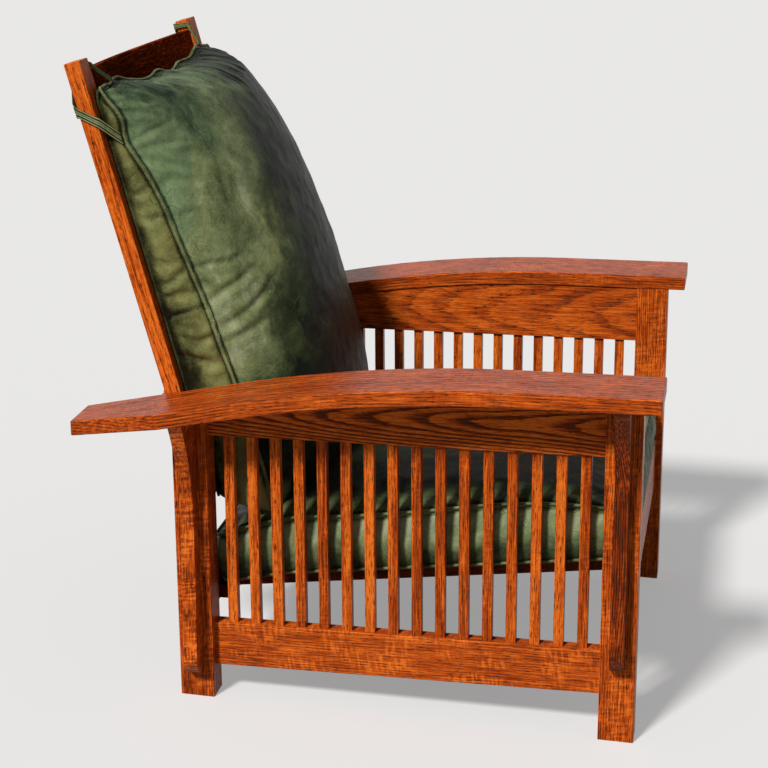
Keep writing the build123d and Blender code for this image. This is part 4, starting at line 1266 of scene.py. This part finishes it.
def make_strap(side, way, hide):
    """A folded leather strap that is sewn to a corner of the back cushion and goes round a post."""
    line, widths = strap_path(STRAP_STOPS, STRAP_WIDTHS)
    ways = np.gradient(line, axis=0)
    ways /= np.linalg.norm(ways, axis=1, keepdims=True)
    rings, wear_and_painted_light, painted_shade = [], [], []
    for k, (place, along, width) in enumerate(zip(line, ways, widths)):
        plan = Vector((along[0], along[1], 0)).normalized()
        out = Vector((-plan.y, plan.x, 0))
        lean = min(1 / max(hypot(along[0], along[1]), 0.35), 2.2)
        ring = []
        for across, thick in STRAP_SECTION:
            shift = out * (thick * STRAP_THICKNESS)
            ring.append(Vector(place) + shift + Vector((0, 0, across * width / 2 * lean)))
        rings.append(np.array(ring) * (way, 1, 1))
        # The raised stripes are lightened, as rubbed places and painted highlights, and the sunken ones
        # between them get painted shade
        wear_and_painted_light += [1.0 if thick > 0.7 else 0.0 for _, thick in STRAP_SECTION]
        painted_shade += [1.0 if 0.0 < thick < 0.38 and abs(across) < 0.7 else 0.0 for across, thick in STRAP_SECTION]
    points, faces = skin(rings)
    wear_and_painted_light += [0.3] * (len(points) - len(wear_and_painted_light))
    painted_shade += [0.0] * (len(points) - len(painted_shade))
    if way > 0:
        faces = [face[::-1] for face in faces]
    piece = mesh_object("tie_strap_leather_" + side, from_back(points), faces, hide)
    note(piece.data, "wear_and_painted_light", np.array(wear_and_painted_light))
    note(piece.data, "painted_shade", np.array(painted_shade))
    note(piece.data, "gusset", np.full(len(points), 0.35))
    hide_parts("tie_strap_" + side)
    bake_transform(piece)


# Floor, lights and camera


def paper():
    """The floor: pale where it is seen or mirrored, and greyer where it only throws light back."""
    t = Tree(bpy.data.materials.new("floor_paper"))
    seen = t.seen()
    tone = t.mix(t.noise(t.place(), 40.0), FLOOR_TONE, tuple(0.995 * part for part in FLOOR_TONE))
    t.surface(
        Base_Color=t.mix(seen, FLOOR_BOUNCE, tone),
        Emission_Color=t.mix(seen, (0.0, 0.0, 0.0), FLOOR_GLOW),
        Emission_Strength=FLOOR_GLOW_STRENGTH,
        Roughness=1.0,
        Specular_IOR_Level=0.0,
    )
    return t.owner


def add_floor():
    """A wide flat floor at the chair's feet."""
    corners = ((-1, -1), (1, -1), (1, 1), (-1, 1))
    points = [(FLOOR_REACH * x, FLOOR_REACH * y, 0) for x, y in corners]
    floor = mesh_object("floor", points, [(0, 1, 2, 3)], paper(), smooth=False)


def add_lights():
    """A soft fill all round, which is seen as the pale background, and one broad key light."""
    world = bpy.data.worlds.new("studio")
    bpy.context.scene.world = world
    t = Tree(world, "MixShader", "OutputWorld")
    fill = t.add("Background", Color=(*FILL_TINT, 1), Strength=FILL_STRENGTH)
    background = t.add("Background", Color=(*BACKGROUND_TONE, 1), Strength=1.0)
    for socket, value in zip(t.shader.inputs, (t.seen(), fill.outputs[0], background.outputs[0])):
        t.put(socket, value)

    lamp = bpy.data.lights.new("key", "SUN")
    lamp.energy = KEY_STRENGTH
    lamp.angle = radians(KEY_SPREAD_DEG)
    lamp.color = KEY_TINT
    key = bpy.data.objects.new("key", lamp)
    key.rotation_euler = Vector(KEY_DIRECTION).to_track_quat("-Z", "Y").to_euler()
    bpy.context.scene.collection.objects.link(key)


def add_camera():
    """The camera of the photograph."""
    camera = bpy.data.cameras.new("photograph")
    camera.lens = CAMERA_LENS
    camera.sensor_width = CAMERA_SENSOR
    camera.sensor_fit = "HORIZONTAL"
    camera.clip_end = CAMERA_REACH
    yaw, pitch, roll = (radians(a) for a in (CAMERA_YAW_DEG, CAMERA_PITCH_DEG, CAMERA_ROLL_DEG))
    flat = Vector((cos(yaw), sin(yaw), 0))
    look = flat * cos(pitch) + Vector((0, 0, -sin(pitch)))
    right = Vector((sin(yaw), -cos(yaw), 0))
    up = right.cross(look)
    rolled_right = right * cos(roll) + up * sin(roll)
    rolled_up = up * cos(roll) - right * sin(roll)
    turn = Matrix((rolled_right, rolled_up, -look)).transposed().to_4x4()
    viewer = bpy.data.objects.new("photograph", camera)
    viewer.matrix_world = Matrix.Translation(CAMERA_PLACE) @ turn
    bpy.context.scene.collection.objects.link(viewer)
    bpy.context.scene.camera = viewer
    bpy.context.scene.view_settings.view_transform = "Standard"


def main():
    """Dress the frame, add the soft pieces, the floor, the lights and the camera."""
    dress_wood()
    metal = steel()
    for node in ("cleat_screws", "pivot_pin_right", "pivot_pin_left", "pivot_washers"):
        paint(node, metal)
    hide = leather("green_leather")
    cord = leather("piping_leather", olive=0.10)
    for k, line in enumerate(make_seat_cushion(hide)):
        piping(f"seat_piping_{k}", line, SEAT_PIPING, cord, "chair", closed=True)
    front, rear = make_back_cushion(hide)
    front = clear_of_seat(hem_lifted(front))
    rear = clear_of_seat(clear_of_posts(rear, PIPE_GAP))
    piping("back_piping_front", front, BACK_PIPING_FRONT, cord, "back_pad")
    # The rear piping is darkened with painted shade, as it lies back against the posts
    piping("back_piping_rear", rear, BACK_PIPING_REAR, cord, "back_pad", wear_and_painted_light=-0.35)
    make_strap("right", 1, cord)
    make_strap("left", -1, cord)
    add_floor()
    add_lights()
    add_camera()


main()
